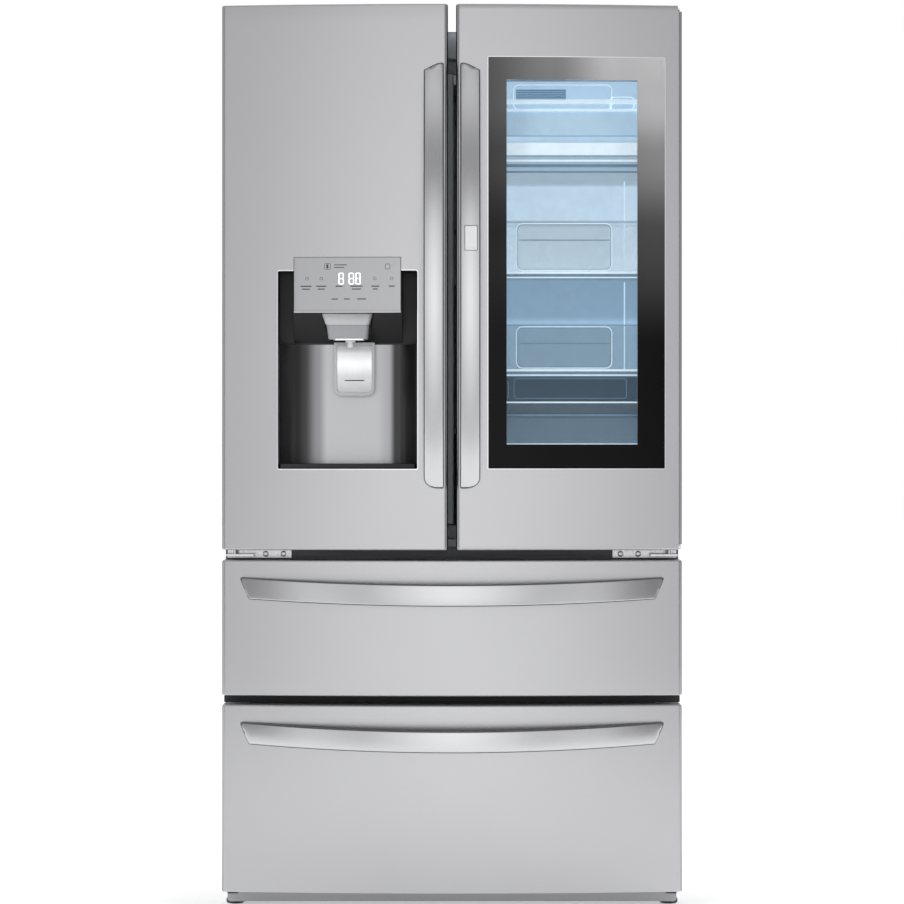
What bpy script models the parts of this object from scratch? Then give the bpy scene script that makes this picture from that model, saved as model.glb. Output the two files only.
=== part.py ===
"""French door refrigerator with a glass showcase door and two freezer drawers.

Frame: +X to the right, +Y to the back, +Z up, with the origin on the floor under the middle of the
bounding box. Sizes in this file are millimetres, and MM turns them into Blender's metres. Each moving
piece hangs from an empty on its joint's axis, and every node is one closed solid.
"""

import math

import bmesh
import bpy
from mathutils import Vector

MM = 0.001

# Driving dimensions
DOOR_HALF = 452.0  # half the width over the doors
COVER_HALF = 454.0  # half the width over the hinge covers
HANDLE_FRONT = -460.5  # most forward point
BACK = 460.5  # most rearward point
FACE_FRONT = -396.5  # bowed face at the middle of the front
FACE_SAG = 26.0  # how far that face falls back at its sides
DOOR_REAR = -310.0
GASKET_REAR = -296.5
CASE_FRONT = -295.5
CASE_HALF = 450.0
CASE_TOP = 1736.0
CASE_BOTTOM = 52.0
DOOR_LOW = 708.0
DOOR_TOP = 1778.0
UPPER_FRONT_Z = (422.0, 688.0)
LOWER_FRONT_Z = (36.0, 404.0)
DOOR_GAP = 16.0  # between the two doors
SHEET = 2.0  # steel skin of a door
CLEAR = 0.3  # gap between pieces that touch
EDGE_RADIUS = 8.0  # vertical edges of the doors and drawer fronts

# Cabinet inside
FRIDGE_HALF = 405.0  # outside of the liner
FRIDGE_Z = (725.0, 1685.0)
FREEZER_Z = (90.0, 665.0)
LINER_BACK = 385.0
LINER = 2.0
MACHINE_Y = 200.0  # the machine compartment starts here
MACHINE_TOP = 300.0
RAIL_Z = (684.0, 712.0)  # steel rail between refrigerator and freezer
DRAWER_RAIL_Z = (393.0, 433.0)

# Joint axes
HINGE_X = 430.0
HINGE_Y = -326.0
SHOWCASE_HINGE = (438.0, -362.0)
MULLION_PIVOT = (-34.0, -283.0)
ICE_DOOR_PIVOT = (-390.0, -201.0)
PADDLE_PIVOT = (-345.0, 1116.0)  # y and z
FAN_CENTRE = (15.0, 330.0, 150.0)
ROLLER = (407.0, 400.0, 22.0)  # x of its middle, y, and z, which is its radius too
FOOT = (433.0, -265.0)
SPLIT_FRONT = -346.0  # back of the showcase door
SPLIT_REAR = -342.0  # front of the door frame behind it

# Condenser fan
FAN_BLADES = 5
BLADE_PITCH = 32.0  # degrees
BLADE_HALF_CHORD = 10.0
BLADE_HALF_THICK = 1.2
BLADE_REACH = (17.0, 68.0)  # from the axis

# Door inner walls
DYKE_BACK = -206.0
DYKE_WALL = 8.0
DYKE_Z = (746.0, 1664.0)
LEFT_DYKE_X = (-398.0, -54.0)
RIGHT_DYKE_X = (52.0, 398.0)
ICE_FLOOR = 1290.0

# Dispenser
RECESS_X = (-340.7, -68.8)
RECESS_Z = (868.3, 1254.7)
RECESS_BACK = -317.8
RECESS_WALL = 3.0
PANEL_X = (-310.0, -100.0)
PANEL_Z = (1173.0, 1282.0)
PANEL_BACK = -370.0
CHUTE_TOP_X = (-255.0, -155.0)
CHUTE_LOW_X = (-236.0, -168.0)
CHUTE_Z = (1120.0, 1172.0)
CHUTE_Y = (-378.0, -335.0)

# Showcase window
GLASS_X = (70.0, 419.0)
GLASS_Z = (867.0, 1675.0)
WINDOW_X = (106.0, 365.0)
WINDOW_Z = (914.0, 1631.0)
GLASS_THICK = 4.0

# Handles
HANDLE_THICK = 14.0
DOOR_HANDLE_Z = (829.0, 1661.0)
DOOR_HANDLE_X = (16.0, 55.0)
DOOR_HANDLE_SAG = 50.0
DRAWER_HANDLE_HALF = 415.0
DRAWER_HANDLE_TALL = 42.0
DRAWER_HANDLE_SLANT = 17.0  # the lower edge is this much shorter at each end
DRAWER_HANDLE_SAG = 73.0
DRAWER_HANDLE_ARCH = 12.0  # the middle hangs this much lower than the ends
HANDLE_PAD = 30.0
CORNER_CUT = 28.0  # across the bar
CORNER_TALL = (14.0, 22.0)  # along it, at the top and at the bottom
BUTTON_X = (25.0, 49.0)
BUTTON_Z = (1291.0, 1339.0)
BUTTON_Y = (-460.2, -454.7)

FINISHES = {
    "stainless": ((0.62, 0.62, 0.64), 0.32, 1.0),
    "case_grey": ((0.23, 0.24, 0.25), 0.45, 0.3),
    "zinc": ((0.55, 0.56, 0.58), 0.4, 1.0),
    "white_plastic": ((0.86, 0.88, 0.9), 0.35, 0.0),
    "grey_plastic": ((0.42, 0.43, 0.45), 0.45, 0.0),
    "dark_plastic": ((0.04, 0.04, 0.045), 0.4, 0.0),
    "clear_plastic": ((0.75, 0.85, 0.92), 0.15, 0.0),
    "dark_glass": ((0.02, 0.02, 0.025), 0.05, 0.0),
    "shelf_glass": ((0.7, 0.85, 0.86), 0.05, 0.0),
    "foam": ((0.85, 0.8, 0.6), 0.9, 0.0),
    "gasket": ((0.3, 0.3, 0.31), 0.7, 0.0),
    "black_steel": ((0.03, 0.03, 0.03), 0.5, 0.5),
}

pivots = {}


def clear_scene():
    for item in list(bpy.data.objects):
        bpy.data.objects.remove(item, do_unlink=True)


def finish_material(name, finish):
    colour, roughness, metallic = FINISHES[finish]
    material = bpy.data.materials.new(name + "_" + finish)
    material.use_nodes = True
    shader = material.node_tree.nodes["Principled BSDF"]
    shader.inputs["Base Color"].default_value = (*colour, 1.0)
    shader.inputs["Roughness"].default_value = roughness
    shader.inputs["Metallic"].default_value = metallic
    return material


def pivot(name, place, parent=None):
    """An empty on a joint's axis, for the pieces that move with it."""
    empty = bpy.data.objects.new(name + "_axis", None)
    bpy.context.scene.collection.objects.link(empty)
    world = Vector(place) * MM
    if parent:
        empty.parent = pivots[parent][0]
        empty.location = world - pivots[parent][1]
    else:
        empty.location = world
    pivots[name] = (empty, world)


def link_object(name, bm, parent=None):
    """Makes an object of bm, given in world millimetres, with its origin at the middle of its box."""
    bmesh.ops.recalc_face_normals(bm, faces=bm.faces)
    points = [vertex.co for vertex in bm.verts]
    low = Vector([min(point[axis] for point in points) for axis in range(3)])
    high = Vector([max(point[axis] for point in points) for axis in range(3)])
    centre = (low + high) / 2
    for vertex in bm.verts:
        vertex.co = (vertex.co - centre) * MM
    mesh = bpy.data.meshes.new(name)
    bm.to_mesh(mesh)
    bm.free()
    item = bpy.data.objects.new(name, mesh)
    bpy.context.scene.collection.objects.link(item)
    item.location = centre * MM
    if parent:
        item.parent = pivots[parent][0]
        item.location = centre * MM - pivots[parent][1]
    return item


def piece(name, bm, finish, parent=None):
    item = link_object(name, bm, parent)
    item.data.materials.append(finish_material(name, finish))
    return item


def tool(item, suffix, bm, operation, parent=None):
    """Adds a Boolean of bm to item. The cutter stays hidden and moves with its owner."""
    cutter = link_object(item.name + "_" + suffix, bm, parent)
    cutter.hide_render = True
    cutter.display_type = "WIRE"
    change = item.modifiers.new(suffix, "BOOLEAN")
    change.operation = operation
    change.solver = "EXACT"
    change.object = cutter


def cut(item, suffix, bm, parent=None):
    tool(item, "cut_" + suffix, bm, "DIFFERENCE", parent)


def join(item, suffix, bm, parent=None):
    tool(item, "join_" + suffix, bm, "UNION", parent)


def soften(item, width, segments=2):
    bevel = item.modifiers.new("soft_edges", "BEVEL")
    bevel.width = width * MM
    bevel.segments = segments
    bevel.limit_method = "ANGLE"
    bevel.angle_limit = math.radians(40)


def at(axis, first, second, along):
    """World point of an outline point (first, second) at a place along the extrusion axis."""
    if axis == "X":
        return (along, first, second)
    if axis == "Y":
        return (first, along, second)
    return (first, second, along)


def add_prism(bm, outline, axis, low, high):
    """An outline extruded along an axis. It is (y, z) along X, (x, z) along Y and (x, y) along Z."""
    start = [bm.verts.new(at(axis, a, b, low)) for a, b in outline]
    end = [bm.verts.new(at(axis, a, b, high)) for a, b in outline]
    bm.faces.new(start)
    bm.faces.new(end)
    for i in range(len(outline)):
        following = (i + 1) % len(outline)
        bm.faces.new((start[i], start[following], end[following], end[i]))


def prism(outline, axis, low, high):
    bm = bmesh.new()
    add_prism(bm, outline, axis, low, high)
    return bm


def add_box(bm, x, y, z):
    add_prism(bm, [(x[0], y[0]), (x[1], y[0]), (x[1], y[1]), (x[0], y[1])], "Z", z[0], z[1])


def boxes(*spans):
    """Boxes in one mesh, each given as its x, y and z spans."""
    bm = bmesh.new()
    for x, y, z in spans:
        add_box(bm, x, y, z)
    return bm


def ring(axis, outer, wall, along):
    """A rectangular frame. outer is its two spans across the axis."""
    (a0, a1), (b0, b1) = outer
    bm = bmesh.new()
    loops = []
    for place in along:
        for inset in (0.0, wall):
            corners = (
                (a0 + inset, b0 + inset),
                (a1 - inset, b0 + inset),
                (a1 - inset, b1 - inset),
                (a0 + inset, b1 - inset),
            )
            loops.append([bm.verts.new(at(axis, a, b, place)) for a, b in corners])
    near_outer, near_inner, far_outer, far_inner = loops
    pairs = (
        (near_outer, near_inner),
        (far_outer, far_inner),
        (near_outer, far_outer),
        (near_inner, far_inner),
    )
    for first, second in pairs:
        for i in range(4):
            following = (i + 1) % 4
            bm.faces.new((first[i], first[following], second[following], second[i]))
    return bm


def tray(x, y, z, wall, open_axis, open_end):
    """A box with one open side: open_axis is 0, 1 or 2, and open_end is 0 for low and 1 for high."""
    outer = (x, y, z)
    inner = [(span[0] + wall, span[1] - wall) for span in outer]
    span = outer[open_axis]
    inner[open_axis] = (span[0] + wall, span[1]) if open_end else (span[0], span[1] - wall)
    bm = bmesh.new()
    shells = []
    for spans in (outer, inner):
        shell = {}
        for corner in ((i, j, k) for i in (0, 1) for j in (0, 1) for k in (0, 1)):
            shell[corner] = bm.verts.new([spans[axis][corner[axis]] for axis in range(3)])
        shells.append(shell)
    for axis in range(3):
        for end in (0, 1):
            others = [other for other in range(3) if other != axis]
            loop = []
            for first, second in ((0, 0), (1, 0), (1, 1), (0, 1)):
                corner = [0, 0, 0]
                corner[axis] = end
                corner[others[0]] = first
                corner[others[1]] = second
                loop.append(tuple(corner))
            if axis == open_axis and end == open_end:
                for i in range(4):
                    a, b = loop[i], loop[(i + 1) % 4]
                    bm.faces.new((shells[0][a], shells[0][b], shells[1][b], shells[1][a]))
            else:
                for shell in shells:
                    bm.faces.new([shell[corner] for corner in loop])
    return bm


def circle(centre, radius, sides):
    angles = (2 * math.pi * i / sides for i in range(sides))
    return [(centre[0] + radius * math.cos(a), centre[1] + radius * math.sin(a)) for a in angles]


def rod(axis, centre, radius, along, sides=16):
    return prism(circle(centre, radius, sides), axis, along[0], along[1])


def turned(profile, centre, axis="Z", sides=24):
    """A closed profile of (radius, place) turned about an axis through centre."""
    bm = bmesh.new()
    rounds = []
    for radius, place in profile:
        if radius == 0:
            a, b = centre
            rounds.append([bm.verts.new(at(axis, a, b, place))])
        else:
            rounds.append([bm.verts.new(at(axis, a, b, place)) for a, b in circle(centre, radius, sides)])
    solid_core = len(rounds[0]) == 1
    spans = len(rounds) - 1 if solid_core else len(rounds)
    for i in range(spans):
        near, far = rounds[i], rounds[(i + 1) % len(rounds)]
        for j in range(sides):
            following = (j + 1) % sides
            corners = [near[j % len(near)], near[following % len(near)]]
            corners += [far[following % len(far)], far[j % len(far)]]
            bm.faces.new(list(dict.fromkeys(corners)))
    return bm


def face_y(x):
    """The bowed front face, one curve across both doors and both drawers."""
    return FACE_FRONT + FACE_SAG * (x / DOOR_HALF) ** 2


def face_line(x0, x1, inset, steps):
    places = (x0 + (x1 - x0) * i / steps for i in range(steps + 1))
    return [(x, face_y(x) + inset) for x in places]


def front_outline(x0, x1, inset, rear, steps=8, chamfer=0.0):
    """Plan of a bowed front from its left rear corner, round the face, to its right rear corner."""
    radius = EDGE_RADIUS
    small = radius - inset
    left = (x0 + radius, face_y(x0 + radius) + radius)
    right = (x1 - radius, face_y(x1 - radius) + radius)
    points = [(x0 + inset + chamfer, rear)]
    if chamfer:
        points.append((x0 + inset, rear - chamfer))
    for i in range(4):
        angle = math.pi + math.pi / 2 * i / 4
        points.append((left[0] + small * math.cos(angle), left[1] + small * math.sin(angle)))
    points += face_line(left[0], right[0], inset, steps)
    for i in range(1, 5):
        angle = -math.pi / 2 + math.pi / 2 * i / 4
        points.append((right[0] + small * math.cos(angle), right[1] + small * math.sin(angle)))
    if chamfer:
        points.append((x1 - inset, rear - chamfer))
    points.append((x1 - inset - chamfer, rear))
    return points


def skin_prism(x0, x1, rear):
    """A door's steel skin: the face and its two side returns."""
    outer = front_outline(x0, x1, 0.0, rear)
    inner = front_outline(x0, x1, SHEET, rear)
    return prism(outer + inner[::-1], "Z", DOOR_LOW, DOOR_TOP)


def core_prism(x0, x1, rear, chamfer=0.0):
    outline = front_outline(x0, x1, SHEET + CLEAR, rear, chamfer=chamfer)
    return prism(outline, "Z", DOOR_LOW + 0.5, DOOR_TOP - 0.5)


def mirrored(span, side):
    """An x span given for the right-hand side, on the side asked for."""
    return (span[0], span[1]) if side > 0 else (-span[1], -span[0])


# Cabinet


def build_case():
    half = CASE_HALF
    sheet = 1.2
    outline = [
        (-half, CASE_BOTTOM),
        (-half, CASE_TOP),
        (half, CASE_TOP),
        (half, CASE_BOTTOM),
        (half - sheet, CASE_BOTTOM),
        (half - sheet, CASE_TOP - sheet),
        (-half + sheet, CASE_TOP - sheet),
        (-half + sheet, CASE_BOTTOM),
    ]
    piece("outer_case", prism(outline, "Y", CASE_FRONT, BACK - 1.8), "case_grey")


def freezer_outline(inset):
    """Side view of the freezer cavity, stepped over the machine compartment."""
    front = CASE_FRONT - 30
    back = LINER_BACK - inset
    step_y = MACHINE_Y - 25 - inset
    step_z = MACHINE_TOP + 30 + inset
    low = FREEZER_Z[0] + inset
    high = FREEZER_Z[1] - inset
    return [(front, low), (step_y, low), (step_y, step_z), (back, step_z), (back, high), (front, high)]


def build_insulation():
    half = CASE_HALF - 1.5
    foam_front = CASE_FRONT + LINER + CLEAR
    spans = ((-half, half), (foam_front, BACK - 2.1), (CASE_BOTTOM + CLEAR, CASE_TOP - 1.5))
    foam = piece("insulation", boxes(spans), "foam")
    wide = FRIDGE_HALF + CLEAR
    fridge = (FRIDGE_Z[0] - CLEAR, FRIDGE_Z[1] + CLEAR)
    cut(foam, "fridge", boxes(((-wide, wide), (-400, LINER_BACK + CLEAR), fridge)))
    cut(foam, "freezer", prism(freezer_outline(-CLEAR), "X", -wide, wide))
    machine = ((-500, 500), (MACHINE_Y, BACK + 20), (0, MACHINE_TOP))
    cut(foam, "machine", boxes(machine))
    rail_cut = ((-500, 500), (-400, CASE_FRONT + 12 + CLEAR), (RAIL_Z[0] - CLEAR, RAIL_Z[1] + CLEAR))
    cut(foam, "rail", boxes(rail_cut))


def build_liners():
    half = CASE_HALF - 1.5
    flange_y = (CASE_FRONT, CASE_FRONT + LINER)
    inside = FRIDGE_HALF - LINER
    top_span = (RAIL_Z[1] + CLEAR, CASE_TOP - 1.5)
    fridge = piece("fridge_liner", boxes(((-half, half), flange_y, top_span)), "white_plastic")
    shell = ((-FRIDGE_HALF, FRIDGE_HALF), (CASE_FRONT + 1, LINER_BACK), FRIDGE_Z)
    join(fridge, "shell", boxes(shell))
    hollow = (FRIDGE_Z[0] + LINER, FRIDGE_Z[1] - LINER)
    cut(fridge, "hollow", boxes(((-inside, inside), (-400, LINER_BACK - LINER), hollow)))
    low_span = (CASE_BOTTOM + CLEAR, RAIL_Z[0] - CLEAR)
    freezer = piece("freezer_liner", boxes(((-half, half), flange_y, low_span)), "white_plastic")
    outline = freezer_outline(0.0)
    outline[0] = (CASE_FRONT + 1, outline[0][1])
    outline[-1] = (CASE_FRONT + 1, outline[-1][1])
    join(freezer, "shell", prism(outline, "X", -FRIDGE_HALF, FRIDGE_HALF))
    cut(freezer, "hollow", prism(freezer_outline(LINER), "X", -inside, inside))


def build_rails():
    half = CASE_HALF - 1.5
    cross = ((-half, half), (CASE_FRONT, CASE_FRONT + 12), RAIL_Z)
    piece("cross_rail", boxes(cross), "zinc")
    inside = FRIDGE_HALF - LINER - CLEAR
    divider = ((-inside, inside), (CASE_FRONT, CASE_FRONT + 20), DRAWER_RAIL_Z)
    piece("drawer_rail", boxes(divider), "zinc")


def build_back():
    sheet_y = (BACK - 1.5, BACK)
    half = CASE_HALF - 1
    panel = piece("back_panel", boxes(((-half, half), sheet_y, (58, CASE_TOP - 6))), "zinc")
    slots = []
    for row in range(5):
        for column in range(4):
            x = -60 + 110 * column
            z = 110 + 28 * row
            slots.append(((x, x + 90), (BACK - 10, BACK + 10), (z, z + 10)))
    cut(panel, "vents", boxes(*slots))
    cut(panel, "gland", rod("Y", (-380, 120), 10.8, (BACK - 10, BACK + 10)))
    gland = [(4, BACK - 12), (10, BACK - 12), (10, BACK), (4, BACK)]
    piece("cord_gland", turned(gland, (-380, 120), "Y", 16), "dark_plastic")


def build_base():
    half = CASE_HALF - 2
    x, y, radius = ROLLER
    plate = ((-half, half), (CASE_FRONT + 5, BACK - 5), (CASE_BOTTOM - 3, CASE_BOTTOM))
    base = piece("base_frame", boxes(plate), "zinc")
    rails = [(mirrored((420, 446), side), (-285, 440), (30, CASE_BOTTOM - 1)) for side in (-1, 1)]
    join(base, "rails", boxes(*rails))
    ears = [(mirrored((420, 426), side), (y - 14, y + 14), (12, 32)) for side in (-1, 1)]
    join(base, "roller_ears", boxes(*ears))
    axles = bmesh.new()
    for side in (-1, 1):
        span = mirrored((392, 423), side)
        add_prism(axles, circle((y, radius), 4, 12), "X", span[0], span[1])
    join(base, "axles", axles)
    threads = bmesh.new()
    for side in (-1, 1):
        add_prism(threads, circle((side * FOOT[0], FOOT[1]), 7.2, 16), "Z", 20, CASE_BOTTOM - 5)
    cut(base, "foot_threads", threads)
    fan_x, fan_y, fan_z = FAN_CENTRE
    shroud_x = (fan_x + 19, fan_x + 23)
    join(base, "shroud", boxes((shroud_x, (fan_y - 88, fan_y + 88), (CASE_BOTTOM - 1, fan_z + 88))))
    cut(base, "shroud_hole", rod("X", (fan_y, fan_z), 76, (fan_x, fan_x + 40), 24))
    strut = ((fan_x + 22, fan_x + 28), (fan_y - 6, fan_y + 6), (CASE_BOTTOM - 1, fan_z + 86))
    join(base, "strut", boxes(strut))
    join(base, "fan_axle", rod("X", (fan_y, fan_z), 4, (fan_x - 13, fan_x + 25), 12))
    piece("base_grille", boxes(((-446, 446), (-306, -298), (8, 33))), "case_grey")
    for side, word in ((-1, "left"), (1, "right")):
        pivot("foot_" + word, (side * FOOT[0], FOOT[1], 0))
        stem_top = CASE_BOTTOM - 7
        foot = [(0, 0), (17, 0), (18, 2), (18, 9), (15, 11), (6, 11), (6, stem_top), (0, stem_top)]
        place = (side * FOOT[0], FOOT[1])
        piece("foot_" + word, turned(foot, place, "Z", 20), "dark_plastic", "foot_" + word)
        pivot("roller_" + word, (side * x, y, radius))
        tyre = [(4.8, -10), (radius - 2, -10), (radius, -8), (radius, 8), (radius - 2, 10), (4.8, 10)]
        tyre = [(r, side * x + place) for r, place in tyre]
        piece("roller_" + word, turned(tyre, (y, radius), "X", 24), "dark_plastic", "roller_" + word)


def build_machine():
    pivot("condenser_fan", FAN_CENTRE)
    fan_x, fan_y, fan_z = FAN_CENTRE
    hub = [(4.8, fan_x - 11), (20, fan_x - 11), (20, fan_x + 11), (4.8, fan_x + 11)]
    hub_bm = turned(hub, (fan_y, fan_z), "X", 20)
    fan = piece("condenser_fan", hub_bm, "dark_plastic", "condenser_fan")
    blades = bmesh.new()
    pitch = math.radians(BLADE_PITCH)
    chord = (math.cos(pitch), math.sin(pitch))
    root, tip = BLADE_REACH
    wide = BLADE_HALF_CHORD
    corners = ((root, -wide), (tip, -wide), (tip, wide), (root, wide))
    for i in range(FAN_BLADES):
        turn = 2 * math.pi * i / FAN_BLADES
        spoke = (math.cos(turn), math.sin(turn))
        faces = []
        for thick in (-BLADE_HALF_THICK, BLADE_HALF_THICK):
            loop = []
            for reach, half in corners:
                across = half * chord[0] - thick * chord[1]
                along = half * chord[1] + thick * chord[0]
                y = fan_y + reach * spoke[0] - across * spoke[1]
                z = fan_z + reach * spoke[1] + across * spoke[0]
                loop.append(blades.verts.new((fan_x + along, y, z)))
            faces.append(loop)
            blades.faces.new(loop)
        for j in range(4):
            following = (j + 1) % 4
            blades.faces.new((faces[0][j], faces[0][following], faces[1][following], faces[1][j]))
    join(fan, "blades", blades, "condenser_fan")
    can = [(0, 0), (60, 0), (62, 6), (84, 14), (86, 60), (86, 110), (78, 140), (52, 158), (0, 164)]
    can = [(r, CASE_BOTTOM + CLEAR + z) for r, z in can]
    piece("compressor", turned(can, (190, 325), "Z", 24), "black_steel")


def build_hinges():
    for side, word in ((-1, "left"), (1, "right")):
        axis = (side * HINGE_X, HINGE_Y)
        plate_y = (CASE_FRONT - 4, CASE_FRONT - CLEAR)
        mid = piece("mid_hinge_" + word, boxes((mirrored((319, 446), side), plate_y, (690, 706))), "zinc")
        arm = (mirrored((392, 446), side), (HINGE_Y - 12, CASE_FRONT - 2), (694, 699))
        join(mid, "arm", boxes(arm))
        join(mid, "pin", rod("Z", axis, 5, (698, 722)))
        floor = (mirrored((345, 440), side), (-290, -140), (CASE_TOP + CLEAR, CASE_TOP + 5))
        top = piece("top_hinge_" + word, boxes(floor), "zinc")
        riser = (mirrored((420, 440), side), (-270, -250), (CASE_TOP + 3, CASE_TOP + 13))
        join(top, "riser", boxes(riser))
        reach = (mirrored((420, 440), side), (HINGE_Y - 10, -250), (CASE_TOP + 11, CASE_TOP + 16))
        join(top, "arm", boxes(reach))
        join(top, "pin", rod("Z", axis, 5, (CASE_TOP - 8, CASE_TOP + 13)))
        hood_x = mirrored((332, COVER_HALF), side)
        hood = tray(hood_x, (-295, -118), (CASE_TOP + CLEAR, DOOR_TOP - 2), 2.5, 2, 0)
        cover = piece("hinge_cover_" + word, hood, "case_grey")
        slot = (mirrored((416, 444), side), (-300, -290), (CASE_TOP + 8, CASE_TOP + 19))
        cut(cover, "arm_slot", boxes(slot))


def build_inside():
    inside = FRIDGE_HALF - LINER
    duct = [(-150, 382.5), (-150, 345), (150, 345), (150, 382.5)]
    duct += [(145, 382.5), (145, 350), (-145, 350), (-145, 382.5)]
    air_duct = piece("air_duct", prism(duct, "Z", 960, 1670), "white_plastic")
    slots = [((-110, 110), (330, 360), (1020 + 120 * i, 1030 + 120 * i)) for i in range(6)]
    cut(air_duct, "slots", boxes(*slots))
    shelf_half = inside - CLEAR
    for name, z in (("shelf_upper", 1240), ("shelf_lower", 935)):
        rim = piece(name, ring("Z", ((-shelf_half, shelf_half), (-175, 335)), 16, (z, z + 14)), "shelf_glass")
        join(rim, "pane", boxes(((-shelf_half + 8, shelf_half - 8), (-167, 327), (z + 5, z + 10))))
    for side, word in ((-1, "left"), (1, "right")):
        pivot("crisper_" + word, (side * 201, -170, 830))
        bin_bm = tray(mirrored((5, 396), side), (-170, 300), (742, 922), 3, 2, 1)
        piece("crisper_" + word, bin_bm, "clear_plastic", "crisper_" + word)
    spans = []
    for side in (-1, 1):
        x = mirrored((390, 399), side)
        spans.append((x, (-270, 350), (470, 488)))
        spans.append((x, (-270, 150), (128, 146)))
    slides = piece("drawer_slides", boxes(((-399, 399), (340, 352), (470, 488))), "zinc")
    join(slides, "rails", boxes(*spans))
    join(slides, "low_cross", boxes(((-398, 398), (140, 152), (129, 145))))
    posts = [(mirrored((391, 398), side), (138, 150), (130, 486)) for side in (-1, 1)]
    join(slides, "posts", boxes(*posts))


# Handles


def door_handle(name, side, parent):
    """A flat bar bowed away from the door, with a pad at each end and its outer corners cut off."""
    low, high = DOOR_HANDLE_Z
    middle = (low + high) / 2
    half = (high - low) / 2
    steps = 20

    def outer(z):
        return HANDLE_FRONT + DOOR_HANDLE_SAG * ((z - middle) / half) ** 2

    places = [low + (high - low) * i / steps for i in range(steps + 1)]
    seat = face_y(DOOR_HANDLE_X[0]) - CLEAR
    front = [(outer(z), z) for z in places]
    inner_low, inner_high = low + HANDLE_PAD, high - HANDLE_PAD
    places = [inner_high + (inner_low - inner_high) * i / steps for i in range(steps + 1)]
    back = [(outer(z) + HANDLE_THICK, z) for z in places]
    outline = front + [(seat, high), (seat, inner_high)] + back + [(seat, inner_low), (seat, low)]
    span = mirrored(DOOR_HANDLE_X, side)
    bar = piece(name, prism(outline, "X", span[0], span[1]), "stainless", parent)
    edge = side * (DOOR_HANDLE_X[1] + 1)
    start = side * (DOOR_HANDLE_X[1] - CORNER_CUT)
    corners = bmesh.new()
    for end, tall in ((high, CORNER_TALL[0]), (low, -CORNER_TALL[1])):
        beyond = math.copysign(1, tall)
        triangle = [(edge, end - tall), (edge, end + beyond), (start, end + beyond)]
        add_prism(corners, triangle, "Y", -480, -380)
    cut(bar, "slanted_corners", corners, parent)
    return bar


def drawer_handle(name, top, parent):
    """A flat bar bowed away from the front and arched down, with a pad and a slanted cut at each end."""
    half = DRAWER_HANDLE_HALF
    inner = half - HANDLE_PAD
    steps = 22
    bar_places = [-inner + 2 * inner * i / steps for i in range(steps + 1)]
    bm = bmesh.new()
    sections = []
    for x in [-half, -inner - 0.5] + bar_places + [inner + 0.5, half]:
        front = HANDLE_FRONT + DRAWER_HANDLE_SAG * (x / half) ** 2
        back = front + HANDLE_THICK if abs(x) <= inner else face_y(x) - CLEAR
        high = top - DRAWER_HANDLE_ARCH * (1 - (x / half) ** 2)
        low = high - DRAWER_HANDLE_TALL
        corners = ((front, low), (back, low), (back, high), (front, high))
        sections.append([bm.verts.new(at("X", y, z, x)) for y, z in corners])
    for first, second in zip(sections, sections[1:]):
        for i in range(4):
            bm.faces.new((first[i], first[(i + 1) % 4], second[(i + 1) % 4], second[i]))
    bm.faces.new(sections[0][::-1])
    bm.faces.new(sections[-1])
    bmesh.ops.recalc_face_normals(bm, faces=bm.faces)
    bar = piece(name, bm, "stainless", parent)
    wedges = bmesh.new()
    low = top - DRAWER_HANDLE_TALL - 2
    for side in (-1, 1):
        inner_x = side * (half - DRAWER_HANDLE_SLANT)
        wedge = [(inner_x, low), (side * (half + 0.4), top), (side * (half + 9), low)]
        add_prism(wedges, wedge, "Y", -480, -340)
    cut(bar, "slanted_ends", wedges, parent)


# Doors


def hinge_holes(side):
    """Holes for the pins of the middle and the top hinge."""
    bm = bmesh.new()
    outline = circle((side * HINGE_X, HINGE_Y), 6, 16)
    add_prism(bm, outline, "Z", DOOR_LOW - 10, 724)
    add_prism(bm, outline, "Z", CASE_TOP - 10, CASE_TOP + 8)
    return bm


def hinge_notch(side, front):
    return boxes((mirrored((414, 480), side), (front, -280), (CASE_TOP + 6, DOOR_TOP + 20)))


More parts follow.
